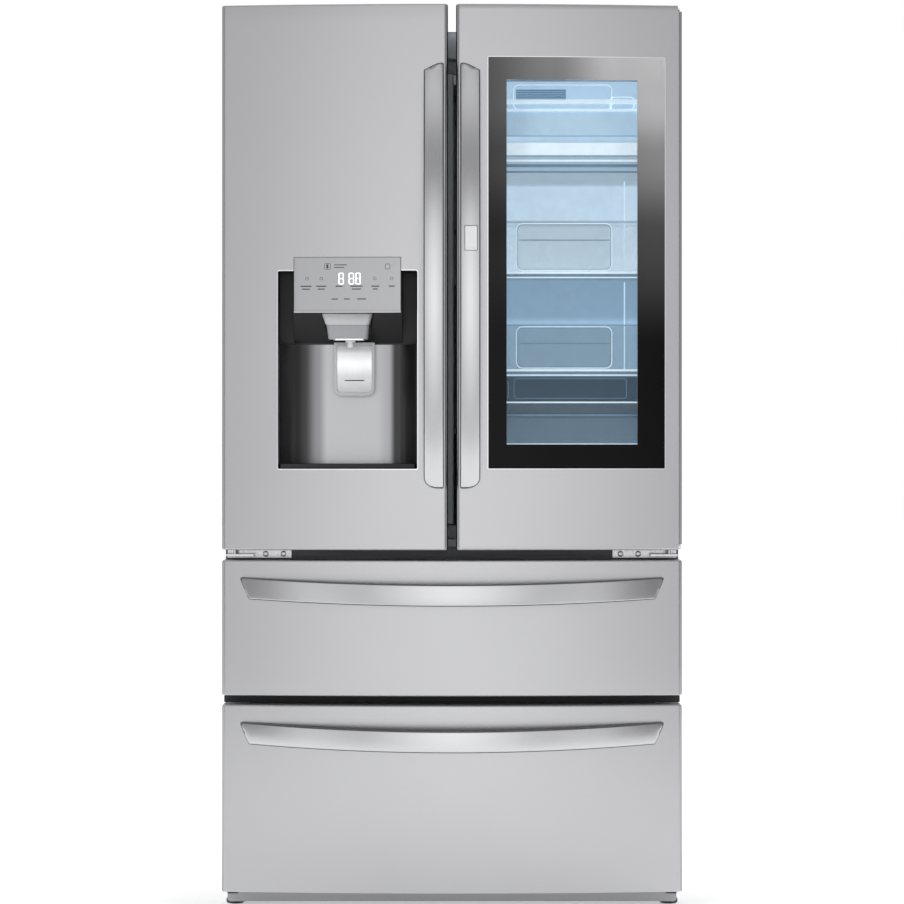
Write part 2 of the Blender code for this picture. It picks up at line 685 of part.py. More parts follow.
def build_left_door():
    door = "left_door"
    pivot(door, (-HINGE_X, HINGE_Y, DOOR_LOW))
    x0, x1 = -DOOR_HALF, -DOOR_GAP / 2
    skin = piece("left_door_skin", skin_prism(x0, x1, DOOR_REAR), "stainless", door)
    core = piece("left_door_core", core_prism(x0, x1, DOOR_REAR), "white_plastic", door)
    dyke = ring("Y", (LEFT_DYKE_X, DYKE_Z), DYKE_WALL, (DOOR_REAR - 1, DYKE_BACK))
    join(core, "dyke", dyke, door)
    inner_x = (LEFT_DYKE_X[0] + 4, LEFT_DYKE_X[1] - 4)
    join(core, "ice_floor", boxes((inner_x, (DOOR_REAR - 1, DYKE_BACK), (ICE_FLOOR - 8, ICE_FLOOR))), door)
    lug_x = (LEFT_DYKE_X[1] - 4, MULLION_PIVOT[0] + 5)
    lug_y = (MULLION_PIVOT[1] - 6, MULLION_PIVOT[1] + 6)
    lugs = boxes((lug_x, lug_y, (750, 755)), (lug_x, lug_y, (1655, 1660)))
    join(core, "mullion_lugs", lugs, door)
    mouth_x = (RECESS_X[0] - RECESS_WALL - CLEAR, RECESS_X[1] + RECESS_WALL + CLEAR)
    mouth_z = (RECESS_Z[0] - RECESS_WALL - CLEAR, RECESS_Z[1] + RECESS_WALL + CLEAR)
    panel_x = (PANEL_X[0] - CLEAR, PANEL_X[1] + CLEAR)
    panel_z = (PANEL_Z[0] - CLEAR, PANEL_Z[1] + CLEAR)
    pocket_back = RECESS_BACK + RECESS_WALL + CLEAR
    cut(skin, "recess", boxes((mouth_x, (-420, -330), mouth_z)), door)
    cut(skin, "panel", boxes((panel_x, (-420, -330), panel_z)), door)
    cut(core, "recess", boxes((mouth_x, (-420, pocket_back), mouth_z)), door)
    cut(core, "panel", boxes((panel_x, (-420, PANEL_BACK + CLEAR), panel_z)), door)
    cut(skin, "hinge", hinge_notch(-1, -352), door)
    cut(core, "hinge", hinge_notch(-1, -352), door)
    cut(core, "pins", hinge_holes(-1), door)
    gasket = ring("Y", ((-434, -20), (716, 1730)), 12, (DOOR_REAR + CLEAR, GASKET_REAR))
    piece("left_door_gasket", gasket, "gasket", door)
    door_handle("left_handle", -1, door)
    bin_x = (LEFT_DYKE_X[0] + DYKE_WALL + 0.5, LEFT_DYKE_X[1] - DYKE_WALL - 0.5)
    bin_y = (DOOR_REAR + 0.5, -215)
    piece("left_door_bin", tray(bin_x, bin_y, (775, 885), 3, 2, 1), "clear_plastic", door)
    ice_x = (bin_x[0] + 10, bin_x[1] - 10)
    piece("ice_bin", tray(ice_x, bin_y, (ICE_FLOOR + 1, ICE_FLOOR + 140), 3, 2, 1), "clear_plastic", door)
    build_dispenser(door, mouth_x, mouth_z, panel_x, panel_z)
    pivot("mullion", (*MULLION_PIVOT, 1205), door)
    post = boxes(((MULLION_PIVOT[0], 3), (-295, -270), (757, 1653)))
    mullion = piece("flipper_mullion", post, "grey_plastic", "mullion")
    soften(mullion, 2, 1)
    pivot("ice_door", (*ICE_DOOR_PIVOT, 1475), door)
    lid_x = (ICE_DOOR_PIVOT[0] - 1, LEFT_DYKE_X[1] - 2)
    lid = boxes((lid_x, (ICE_DOOR_PIVOT[1] - 4, ICE_DOOR_PIVOT[1] + 4), (ICE_FLOOR - 6, DYKE_Z[1] - 2)))
    piece("ice_door", lid, "white_plastic", "ice_door")


def build_dispenser(door, mouth_x, mouth_z, panel_x, panel_z):
    low_x, high_x = mouth_x[0] + CLEAR, mouth_x[1] - CLEAR
    back = RECESS_BACK + RECESS_WALL
    outline = face_line(low_x, high_x, 0.4, 4) + [(high_x, back), (low_x, back)]
    shell = prism(outline, "Z", mouth_z[0] + CLEAR, mouth_z[1] - CLEAR)
    housing = piece("dispenser_housing", shell, "dark_plastic", door)
    cut(housing, "hollow", boxes((RECESS_X, (-420, RECESS_BACK), RECESS_Z)), door)
    wedge = [(PANEL_BACK + 1, 1172), (RECESS_BACK + 1, 1115), (RECESS_BACK + 1, 1256), (PANEL_BACK + 1, 1256)]
    join(housing, "funnel", prism(wedge, "X", PANEL_X[0] - 2, PANEL_X[1] + 2), door)
    cut(housing, "panel", boxes((panel_x, (-420, PANEL_BACK + CLEAR), panel_z)), door)
    slot = [
        (CHUTE_TOP_X[0] - 1, CHUTE_Z[1] + 1),
        (CHUTE_LOW_X[0] - 1, CHUTE_Z[0] - 30),
        (CHUTE_LOW_X[1] + 1, CHUTE_Z[0] - 30),
        (CHUTE_TOP_X[1] + 1, CHUTE_Z[1] + 1),
    ]
    cut(housing, "chute", prism(slot, "Y", -420, CHUTE_Y[1] + CLEAR), door)
    panel_outline = face_line(PANEL_X[0], PANEL_X[1], -2.0, 4)
    panel_outline += [(PANEL_X[1], PANEL_BACK), (PANEL_X[0], PANEL_BACK)]
    piece("control_panel", prism(panel_outline, "Z", *PANEL_Z), "stainless", door)
    outline = [
        (CHUTE_TOP_X[0], CHUTE_Z[1]),
        (CHUTE_LOW_X[0], CHUTE_Z[0]),
        (CHUTE_LOW_X[1], CHUTE_Z[0]),
        (CHUTE_TOP_X[1], CHUTE_Z[1]),
    ]
    chute = piece("ice_chute", prism(outline, "Y", *CHUTE_Y), "grey_plastic", door)
    join(chute, "nozzle", boxes(((-206, -194), (-362, -351), (1106, 1122))), door)
    pivot("paddle", (-192.5, *PADDLE_PIVOT), door)
    corner = 14
    left, right, low, high = -233, -152, 1011, 1117
    outline = [(left, high)]
    for i in range(5):
        angle = math.pi + math.pi / 2 * i / 4
        outline.append((left + corner + corner * math.cos(angle), low + corner + corner * math.sin(angle)))
    for i in range(5):
        angle = -math.pi / 2 + math.pi / 2 * i / 4
        outline.append((right - corner + corner * math.cos(angle), low + corner + corner * math.sin(angle)))
    outline.append((right, high))
    paddle_y = (PADDLE_PIVOT[0] - 4, PADDLE_PIVOT[0] + 3)
    piece("dispenser_paddle", prism(outline, "Y", *paddle_y), "white_plastic", "paddle")
    pivot("drip_tray", (-204.7, -350, 873), door)
    tray_x = (RECESS_X[0] + 2, RECESS_X[1] - 2)
    pan = tray(tray_x, (-378, RECESS_BACK - 2), (RECESS_Z[0] + CLEAR, RECESS_Z[0] + 9), 2, 2, 1)
    piece("drip_tray", pan, "dark_plastic", "drip_tray")


def build_right_door():
    door = "right_door"
    pivot(door, (HINGE_X, HINGE_Y, DOOR_LOW))
    spans = ((DOOR_GAP / 2 + 0.3, DOOR_HALF - 0.3), (DOOR_LOW + 0.5, DOOR_TOP - 0.5))
    slab = boxes((spans[0], (SPLIT_REAR, DOOR_REAR), spans[1]))
    frame = piece("right_door_frame", slab, "white_plastic", door)
    dyke = boxes((RIGHT_DYKE_X, (DOOR_REAR - 1, DYKE_BACK), DYKE_Z))
    join(frame, "dyke", dyke, door)
    inner_x = (RIGHT_DYKE_X[0] + DYKE_WALL, RIGHT_DYKE_X[1] - DYKE_WALL)
    inner_z = (DYKE_Z[0] + DYKE_WALL, DYKE_Z[1] - DYKE_WALL)
    cut(frame, "opening", boxes((inner_x, (-400, -150), inner_z)), door)
    cut(frame, "hinge", hinge_notch(1, -400), door)
    cut(frame, "pins", hinge_holes(1), door)
    axis_x, axis_y = SHOWCASE_HINGE
    top_bridge = ((390, 450), (SPLIT_REAR, -318), (1767, 1774))
    join(frame, "showcase_bridge", boxes(top_bridge), door)
    arms_x = (axis_x - 9, axis_x + 10)
    arms_y = (axis_y - 8, SPLIT_REAR + 1)
    arms = boxes((arms_x, arms_y, (1769, 1773)), (arms_x, arms_y, (712, 716)))
    join(frame, "showcase_arms", arms, door)
    pins = bmesh.new()
    add_prism(pins, circle(SHOWCASE_HINGE, 4, 12), "Z", 1758, 1771)
    add_prism(pins, circle(SHOWCASE_HINGE, 4, 12), "Z", 714, 727)
    join(frame, "showcase_pins", pins, door)
    gasket = ring("Y", ((20, 434), (716, 1730)), 12, (DOOR_REAR + CLEAR, GASKET_REAR))
    piece("right_door_gasket", gasket, "gasket", door)
    bins = (("top", 1435, 1516), ("upper", 1245, 1358), ("lower", 1052, 1154), ("bottom", 880, 1001))
    for word, low, high in bins:
        bin_x = (inner_x[0] + 0.5, inner_x[1] - 0.5)
        pan = tray(bin_x, (SPLIT_REAR + 4, DYKE_BACK - 4), (low, high), 3, 2, 1)
        piece("right_door_bin_" + word, pan, "clear_plastic", door)


def build_showcase():
    door = "showcase_door"
    axis_x, axis_y = SHOWCASE_HINGE
    pivot(door, (axis_x, axis_y, DOOR_LOW), "right_door")
    x0, x1 = DOOR_GAP / 2, DOOR_HALF
    skin = piece("showcase_skin", skin_prism(x0, x1, SPLIT_FRONT - 6), "stainless", door)
    core = piece("showcase_core", core_prism(x0, x1, SPLIT_FRONT, 6), "grey_plastic", door)
    glass_cut = (GLASS_X[0] - CLEAR, GLASS_X[1] + CLEAR), (GLASS_Z[0] - CLEAR, GLASS_Z[1] + CLEAR)
    cut(skin, "window", boxes((glass_cut[0], (-420, -330), glass_cut[1])), door)
    seat = face_line(glass_cut[0][0], glass_cut[0][1], 0.8 + GLASS_THICK + CLEAR, 6)
    pocket = [(glass_cut[0][0], -420)] + seat + [(glass_cut[0][1], -420)]
    cut(core, "glass_pocket", prism(pocket, "Z", *glass_cut[1]), door)
    cut(core, "window", boxes((WINDOW_X, (-420, -330), WINDOW_Z)), door)
    corner_x, corner_y = (axis_x - 14, 480), (axis_y - 14, -330)
    notches = ((corner_x, corner_y, (1766, 1800)), (corner_x, corner_y, (690, 719)))
    cut(core, "hinge_notches", boxes(*notches), door)
    cut(skin, "hinge_notches", boxes(*notches), door)
    holes = bmesh.new()
    add_prism(holes, circle(SHOWCASE_HINGE, 5, 16), "Z", 1755, 1768)
    add_prism(holes, circle(SHOWCASE_HINGE, 5, 16), "Z", 717, 730)
    cut(core, "pins", holes, door)
    front = face_line(GLASS_X[0], GLASS_X[1], 0.8, 6)
    rear = face_line(GLASS_X[0], GLASS_X[1], 0.8 + GLASS_THICK, 6)
    piece("showcase_glass", prism(front + rear[::-1], "Z", *GLASS_Z), "dark_glass", door)
    handle = door_handle("right_handle", 1, door)
    pocket_x = (BUTTON_X[0] - 0.5, BUTTON_X[1] + 0.5)
    pocket_z = (BUTTON_Z[0] - 0.5, BUTTON_Z[1] + 0.5)
    cut(handle, "button_pocket", boxes((pocket_x, (-480, BUTTON_Y[1] + 3.7), pocket_z)), door)
    middle = ((BUTTON_X[0] + BUTTON_X[1]) / 2, BUTTON_Y[1], (BUTTON_Z[0] + BUTTON_Z[1]) / 2)
    pivot("handle_button", middle, door)
    button = piece("handle_button", boxes((BUTTON_X, BUTTON_Y, BUTTON_Z)), "stainless", "handle_button")
    soften(button, 1.0, 1)


def build_drawers():
    plans = (
        ("upper_drawer", UPPER_FRONT_Z, 655, (445, 620), 335, (425, 685)),
        ("lower_drawer", LOWER_FRONT_Z, 371, (102, 325), 130, (56, 401)),
    )
    for name, span, handle_top, basket_z, basket_back, seal_z in plans:
        pivot(name, (0, DOOR_REAR, (span[0] + span[1]) / 2))
        outline = front_outline(-DOOR_HALF, DOOR_HALF, 0.0, DOOR_REAR, 16)
        piece(name + "_front", prism(outline, "Z", span[0], span[1]), "stainless", name)
        seal = ring("Y", ((-434, 434), seal_z), 12, (DOOR_REAR + CLEAR, GASKET_REAR))
        piece(name + "_gasket", seal, "gasket", name)
        drawer_handle(name + "_handle", handle_top, name)
        basket = tray((-382, 382), (DOOR_REAR + CLEAR, basket_back), basket_z, 3, 2, 1)
        piece(name + "_basket", basket, "white_plastic", name)


def main():
    clear_scene()
    build_case()
    build_insulation()
    build_liners()
    build_rails()
    build_back()
    build_base()
    build_machine()
    build_hinges()
    build_inside()
    build_left_door()
    build_right_door()
    build_showcase()
    build_drawers()


main()
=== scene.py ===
import math

import bmesh
import bpy
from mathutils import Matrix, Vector


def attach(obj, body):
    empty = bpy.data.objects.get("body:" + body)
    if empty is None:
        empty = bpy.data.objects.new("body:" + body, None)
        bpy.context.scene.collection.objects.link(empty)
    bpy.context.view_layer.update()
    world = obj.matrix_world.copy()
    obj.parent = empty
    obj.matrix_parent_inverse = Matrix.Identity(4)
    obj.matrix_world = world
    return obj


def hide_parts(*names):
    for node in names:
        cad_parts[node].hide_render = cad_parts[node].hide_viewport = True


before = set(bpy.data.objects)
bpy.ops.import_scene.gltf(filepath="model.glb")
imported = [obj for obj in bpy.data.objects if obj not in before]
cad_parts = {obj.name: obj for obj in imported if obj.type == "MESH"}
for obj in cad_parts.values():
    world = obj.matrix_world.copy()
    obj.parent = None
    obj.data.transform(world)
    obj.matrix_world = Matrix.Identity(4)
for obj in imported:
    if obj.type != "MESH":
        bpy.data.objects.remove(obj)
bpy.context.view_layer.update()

# Looks of a french door refrigerator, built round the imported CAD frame. Sizes are millimetres in the
# CAD frame (+X right, +Y back, +Z up, origin on the floor), and MM turns them into metres.

MM = 0.001

# Shared with the CAD
DOOR_HALF = 452.0
FACE_FRONT = -396.5
FACE_SAG = 26.0
DOOR_REAR = -310.0
EDGE_RADIUS = 8.0
DOOR_Z = (708.0, 1778.0)
DOOR_GAP = 16.0
UPPER_FRONT_Z = (422.0, 688.0)
LOWER_FRONT_Z = (36.0, 404.0)
HANDLE_FRONT = -460.5
HANDLE_THICK = 14.0
DOOR_HANDLE_Z = (829.0, 1661.0)
DOOR_HANDLE_X = (16.0, 55.0)
DOOR_HANDLE_SAG = 50.0
DRAWER_HANDLE_HALF = 415.0
DRAWER_HANDLE_TALL = 42.0
DRAWER_HANDLE_SLANT = 17.0
DRAWER_HANDLE_SAG = 73.0
DRAWER_HANDLE_ARCH = 12.0
UPPER_HANDLE_TOP = 655
LOWER_HANDLE_TOP = 371
RECESS_X = (-340.7, -68.8)
RECESS_Z = (868.3, 1254.7)
RECESS_BACK = -317.8
PANEL_X = (-310.0, -100.0)
PANEL_Z = (1173.0, 1282.0)
GLASS_X = (70.0, 419.0)
GLASS_Z = (867.0, 1675.0)
WINDOW_X = (106.0, 365.0)
WINDOW_Z = (914.0, 1631.0)
OPENING_X = (60.5, 389.5)
BUTTON_X = (25.0, 49.0)
BUTTON_Z = (1291.0, 1339.0)
BACK = 460.5
CASE_TOP = 1736.0
SHOWCASE_REAR = -352

# Places of pieces inside, each about where the CAD node is that it replaces
DOOR_BINS = (("top", 1435, 1516), ("upper", 1245, 1358), ("lower", 1052, 1154), ("bottom", 880, 1001))
DOOR_BIN_Y = (-338, -210)
LEFT_BIN_Z = (775, 885)
ICE_BIN_Z = (1291, 1430)
SHELVES = (("upper", 1240), ("lower", 935))
CRISPER_Y = (-170, 300)
CRISPER_Z = (742, 922)
BASKETS = (("upper_drawer", (445, 620), 335), ("lower_drawer", (102, 325), 130))
COMPRESSOR_AT = (190, 325)
FOOT_AT = (433, -265)
ROLLER_AT = (407, 400, 22)

# Where the skins are left out round the hinges: behind these y, over these spans of height
LEFT_NOTCH_Y = DOOR_REAR - 42
LEFT_NOTCHES = ((CASE_TOP + 6, 1790),)
SHOWCASE_NOTCH_Y = -376
SHOWCASE_NOTCHES = ((1766, 1790), (700, 719))

# Looks
SKIN_THICK = 1.6
PANE_THICK = 3.0
LIT_FACE = 0.4  # how thick the panel's digits and marks are
CAMERA_PLACE = (0.0, -6370.5, 900.5)
CAMERA_LENS = 121.6
SENSOR_WIDTH = 36.0
LIGHT_AIM = (0.0, 0.0, 0.9)

# Painted shade and painted glow along an axis, as (place, level) points
NICHE_SHADE = (
    (-345, 0.4), (-300, 0.13), (-290, 0.14), (-266, 0.55), (-246, 1.0),
    (-150, 1.0), (-126, 0.8), (-112, 0.12), (-66, 0.24),
)
LOW_GLOW = (
    (914, 0.27), (966, 0.23), (974, 0.09), (1050, 0.08),
    (1058, 0.62), (1160, 0.6), (1175, 0.42), (1258, 0.42),
)
HIGH_GLOW = ((1258, 1.12), (1350, 1.0), (1362, 0.67), (1450, 0.66), (1640, 0.52))
PADDLE_GLOW = ((1016, 0.5), (1045, 0.66), (1075, 1.0), (1092, 0.8), (1105, 0.5), (1116, 0.3))

# Material name: record slot, colour, roughness, metallic, grain stretch, grain scale, colour spread,
# roughness spread, bump
FINISHES = {
    "brushed_door": ("stainless", (0.58, 0.58, 0.588), 0.25, 1.0, (1, 1, 0.006), 1900, 0.012, 0.02, 0.012),
    "brushed_bar": ("stainless", (0.68, 0.683, 0.69), 0.2, 1.0, (1, 1, 0.006), 1900, 0.015, 0.03, 0.012),
    "brushed_across": ("stainless", (0.68, 0.683, 0.69), 0.2, 1.0, (0.006, 1, 1), 1900, 0.015, 0.03, 0.012),
    # The next finish is darker steel for painted dark reflections on rounded edges.
    "painted_dark_edge_steel": ("stainless", (0.16, 0.16, 0.165), 0.36, 1.0, (1, 1, 0.006), 1900, 0.03, 0.03, 0.01),
    "bright_trim": ("stainless", (0.85, 0.85, 0.86), 0.1, 1.0, (1, 1, 1), 300, 0.02, 0.03, 0.01),
    "panel_steel": ("stainless", (0.55, 0.552, 0.56), 0.33, 1.0, (0.006, 1, 1), 1900, 0.02, 0.03, 0.015),
    "case_paint": ("case_grey", (0.2, 0.207, 0.215), 0.46, 0.25, (1, 1, 1), 420, 0.08, 0.08, 0.22),
    "cover_plastic": ("case_grey", (0.17, 0.175, 0.182), 0.5, 0.0, (1, 1, 1), 600, 0.06, 0.06, 0.15),
    "kick_grey": ("case_grey", (0.42, 0.425, 0.43), 0.42, 0.4, (1, 1, 1), 500, 0.05, 0.06, 0.1),
    "zinc_sheet": ("zinc", (0.56, 0.57, 0.59), 0.38, 1.0, (1, 1, 0.5), 90, 0.1, 0.1, 0.04),
    "rail_steel_painted_shade": ("zinc", (0.11, 0.11, 0.115), 0.45, 1.0, (0.02, 1, 1), 400, 0.06, 0.08, 0.05),
    "bolt_steel": ("zinc", (0.7, 0.7, 0.71), 0.25, 1.0, (1, 1, 1), 400, 0.06, 0.08, 0.05),
    "white_moulded": ("white_plastic", (0.82, 0.85, 0.88), 0.36, 0.0, (1, 1, 1), 500, 0.02, 0.05, 0.06),
    "paddle_white": ("white_plastic", (0.86, 0.87, 0.88), 0.3, 0.0, (1, 1, 1), 400, 0.02, 0.04, 0.04),
    "rim_grey": ("grey_plastic", (0.5, 0.505, 0.51), 0.3, 0.0, (1, 1, 1), 500, 0.03, 0.05, 0.05),
    "grey_moulded": ("grey_plastic", (0.36, 0.37, 0.385), 0.42, 0.0, (1, 1, 1), 500, 0.04, 0.06, 0.08),
    "chute_grey": ("grey_plastic", (0.55, 0.555, 0.565), 0.34, 0.0, (1, 1, 1), 500, 0.03, 0.05, 0.05),
    "dark_moulded": ("dark_plastic", (0.018, 0.018, 0.02), 0.42, 0.0, (1, 1, 1), 500, 0.1, 0.07, 0.1),
    "dark_print_and_shade": ("dark_plastic", (0.05, 0.05, 0.055), 0.5, 0.0, (1, 1, 1), 500, 0.08, 0.05, 0.02),
    "rubber_grey": ("gasket", (0.075, 0.075, 0.08), 0.66, 0.0, (1, 1, 1), 350, 0.07, 0.08, 0.15),
    "foam_cream": ("foam", (0.8, 0.74, 0.52), 0.9, 0.0, (1, 1, 1), 160, 0.14, 0.05, 0.5),
    "black_enamel": ("black_steel", (0.02, 0.02, 0.021), 0.38, 0.2, (1, 1, 1), 260, 0.12, 0.1, 0.12),
    "niche_steel": ("stainless", (0.6, 0.602, 0.61), 0.34, 1.0, (1, 1, 0.006), 1900, 0.02, 0.03, 0.02),
}

# Clear material name: record slot, colour, roughness, alpha, noise scale
CLEARS = {
    "clear_plastic": ("clear_plastic", (0.7, 0.87, 0.98), 0.14, 0.06, 240),
    "frosted_plastic": ("clear_plastic", (0.7, 0.88, 0.98), 0.3, 0.025, 40),
    "shelf_glass": ("shelf_glass", (0.62, 0.8, 0.82), 0.05, 0.22, 240),
    "window_pane": ("dark_glass", (0.02, 0.06, 0.1), 0.05, 0.12, 240),
}

# Lamps, painted glow and painted shade, by material name: record slot, colour, strength, brightness along Z.
# The lamp_ entries are lamps; the wall, housing, line and paddle entries are painted glow, and shade_line is
# painted shade.
LAMPS_AND_PAINTED_GLOW = {
    "lamp_cool": ("white_plastic", (0.66, 0.85, 1.0), 3.0, ()),
    "painted_glow_wall_low": ("white_plastic", (0.5, 0.76, 1.0), 0.9, LOW_GLOW),
    "painted_glow_wall": ("white_plastic", (0.7, 0.87, 1.0), 0.88, HIGH_GLOW),
    "painted_glow_housing": ("white_plastic", (0.54, 0.74, 0.9), 0.3, ()),
    "painted_glow_line": ("white_plastic", (0.78, 0.92, 1.0), 0.5, ()),
    "paddle_painted_glow": ("white_plastic", (0.93, 0.94, 0.95), 0.2, PADDLE_GLOW),
    "shade_line": ("grey_plastic", (0.16, 0.27, 0.38), 0.3, ()),
    "lamp_dim": ("white_plastic", (0.85, 0.92, 1.0), 0.12, ()),
    "lamp_digit": ("white_plastic", (0.95, 0.98, 1.0), 1.6, ()),
}


# Materials


def new_material(name):
    """A node material, with its nodes, its links and its main shader."""
    material = bpy.data.materials.new(name)
    material.use_nodes = True
    tree = material.node_tree
    return material, tree.nodes, tree.links, tree.nodes["Principled BSDF"]


def fill_ramp(ramp, points, blue=1.0):
    """Sets a colour ramp to greys from (position, level) points."""
    stops = ramp.color_ramp.elements
    while len(stops) < len(points):
        stops.new(0.5)
    for stop, (position, level) in zip(stops, points):
        stop.position = position
        stop.color = (level, level, level * blue, 1.0)


def coordinate(nodes, links, stretch):
    place = nodes.new("ShaderNodeTexCoord")
    squeeze = nodes.new("ShaderNodeMapping")
    squeeze.inputs["Scale"].default_value = stretch
    links.new(place.outputs["Object"], squeeze.inputs["Vector"])
    return squeeze.outputs["Vector"]


def noise(nodes, links, stretch, scale, detail=3.0):
    texture = nodes.new("ShaderNodeTexNoise")
    texture.inputs["Scale"].default_value = scale
    texture.inputs["Detail"].default_value = detail
    links.new(coordinate(nodes, links, stretch), texture.inputs["Vector"])
    return texture.outputs["Fac"]


def spread(nodes, links, source, low, high, start=0.3, stop=0.7):
    """source, taken from start to stop, mapped to low to high."""
    change = nodes.new("ShaderNodeMapRange")
    change.inputs["From Min"].default_value = start
    change.inputs["From Max"].default_value = stop
    change.inputs["To Min"].default_value = low
    change.inputs["To Max"].default_value = high
    links.new(source, change.inputs["Value"])
    return change.outputs["Result"]


def times(nodes, links, first, second):
    product = nodes.new("ShaderNodeMath")
    product.operation = "MULTIPLY"
    links.new(first, product.inputs[0])
    links.new(second, product.inputs[1])
    return product.outputs["Value"]


def along_axis(nodes, links, axis, points):
    """A value that follows (place in millimetres, value) points along an object axis."""
    place = nodes.new("ShaderNodeTexCoord")
    split = nodes.new("ShaderNodeSeparateXYZ")
    links.new(place.outputs["Object"], split.inputs["Vector"])
    low, high = points[0][0] * MM, points[-1][0] * MM
    share = spread(nodes, links, split.outputs[axis], 0.0, 1.0, low, high)
    ramp = nodes.new("ShaderNodeValToRGB")
    ramp.color_ramp.interpolation = "EASE"
    fill_ramp(ramp, [((spot * MM - low) / (high - low), value) for spot, value in points])
    links.new(share, ramp.inputs["Fac"])
    return ramp.outputs["Color"]


def tint(nodes, links, colour, level):
    """colour scaled by level."""
    scale = nodes.new("ShaderNodeVectorMath")
    scale.operation = "SCALE"
    scale.inputs[0].default_value = colour
    links.new(level, scale.inputs["Scale"])
    return scale.outputs["Vector"]


def make_finish(name):
    """A procedural material from FINISHES, with painted shade along X, darker toward the sides, where it
    lines the dispenser niche.
    """
    _, colour, roughness, metallic, stretch, scale, colours, roughs, bump = FINISHES[name]
    material, nodes, links, shader = new_material(name)
    grain = noise(nodes, links, stretch, scale)
    cloud = noise(nodes, links, (1, 1, 1), 2.5, 2.0)
    level = spread(nodes, links, grain, 1 - colours, 1 + colours)
    level = times(nodes, links, level, spread(nodes, links, cloud, 0.985, 1.015))
    # Painted shade toward the sides of the dispenser niche.
    if name == "niche_steel":
        level = times(nodes, links, level, along_axis(nodes, links, "X", NICHE_SHADE))
    links.new(tint(nodes, links, colour, level), shader.inputs["Base Color"])
    links.new(spread(nodes, links, grain, roughness - roughs, roughness + roughs), shader.inputs["Roughness"])
    shader.inputs["Metallic"].default_value = metallic
    relief = nodes.new("ShaderNodeBump")
    relief.inputs["Strength"].default_value = bump
    relief.inputs["Distance"].default_value = 0.0004
    links.new(grain, relief.inputs["Height"])
    links.new(relief.outputs["Normal"], shader.inputs["Normal"])
    return material


def make_clear(name):
    """Clear plastic or glass: mostly see-through, denser where the noise is high."""
    _, colour, roughness, alpha, scale = CLEARS[name]
    material, nodes, links, shader = new_material(name)
    cloud = noise(nodes, links, (1, 1, 1), scale)
    level = spread(nodes, links, cloud, 0.96, 1.04)
    links.new(tint(nodes, links, colour, level), shader.inputs["Base Color"])
    low, high = max(0.02, roughness - 0.03), roughness + 0.03
    links.new(spread(nodes, links, cloud, low, high), shader.inputs["Roughness"])
    links.new(spread(nodes, links, cloud, alpha * 0.95, alpha * 1.05), shader.inputs["Alpha"])
    return material


def make_lamp_or_painted_glow(name):
    """A glowing plastic for a lamp, a painted glow or a painted shade line, with its own brightness along Z
    where its entry gives one.
    """
    _, colour, strength, points = LAMPS_AND_PAINTED_GLOW[name]
    material, nodes, links, shader = new_material(name)
    cloud = noise(nodes, links, (1, 1, 1), 60)
    level = spread(nodes, links, cloud, 0.96, 1.04)
    if points:
        level = times(nodes, links, level, along_axis(nodes, links, "Z", points))
    links.new(tint(nodes, links, colour, level), shader.inputs["Base Color"])
    links.new(tint(nodes, links, colour, level), shader.inputs["Emission Color"])
    shader.inputs["Emission Strength"].default_value = strength
    return material


def make_mirror_glass():
    """Black printed mirror glass, with a painted reflection that brightens it toward its upper right corner.
    """
    material, nodes, links, shader = new_material("mirror_glass")
    rise = along_axis(nodes, links, "Z", ((1100, 0.0), (1330, 0.1), (1480, 0.42), (1590, 0.85), (1690, 1.0)))
    side = along_axis(nodes, links, "X", ((60, 0.1), (200, 0.26), (330, 0.72), (425, 1.0)))
    painted_reflection = times(nodes, links, rise, side)
    haze = spread(nodes, links, noise(nodes, links, (1, 1, 1), 8.0), 0.94, 1.06)
    level = times(nodes, links, spread(nodes, links, painted_reflection, 0.011, 0.8, 0.0, 1.0), haze)
    links.new(tint(nodes, links, (1.0, 0.99, 1.0), level), shader.inputs["Base Color"])
    smear = noise(nodes, links, (1, 1, 1), 30)
    links.new(spread(nodes, links, smear, 0.05, 0.09), shader.inputs["Roughness"])
    shader.inputs["Metallic"].default_value = 1.0
    return material


materials = {name: make_finish(name) for name in FINISHES}
materials.update({name: make_clear(name) for name in CLEARS})
materials.update({name: make_lamp_or_painted_glow(name) for name in LAMPS_AND_PAINTED_GLOW})
materials["mirror_glass"] = make_mirror_glass()
slots = {name: look[0] for name, look in (FINISHES | CLEARS | LAMPS_AND_PAINTED_GLOW).items()}
slots["mirror_glass"] = "dark_glass"


# Mesh making


def within(span, by):
    """span with both ends moved in by a distance, or out if it is negative."""
    return (span[0] + by, span[1] - by)


def at(axis, first, second, along):
    """World point of an outline point (first, second) at a place along an axis."""
    if axis == "X":
        return (along, first, second)
    if axis == "Y":
        return (first, along, second)
    return (first, second, along)


def round_rect(a, b, radius, corner, steps=1):
    """Points round a rectangle with rounded corners, of one radius or of four taken from the high corner.

    Each straight side is in steps parts.
    """
    radii = radius if isinstance(radius, tuple) else (radius,) * 4
    most = min(a[1] - a[0], b[1] - b[0]) / 2 - 0.05
    corners = []
    places = ((a[1], b[1], -1, -1), (a[0], b[1], 1, -1), (a[0], b[0], 1, 1), (a[1], b[0], -1, 1))
    for turn, (x, y, right, up) in enumerate(places):
        small = max(0.05, min(radii[turn], most))
        middle = (x + right * small, y + up * small)
        angles = (math.pi / 2 * (turn + i / corner) for i in range(corner + 1))
        corners.append([(middle[0] + small * math.cos(t), middle[1] + small * math.sin(t)) for t in angles])
    points = []
    for i in range(4):
        points += corners[i]
        start, end = corners[i][-1], corners[(i + 1) % 4][0]
        for k in range(1, steps):
            share = k / steps
            points.append((start[0] + (end[0] - start[0]) * share, start[1] + (end[1] - start[1]) * share))
    return points


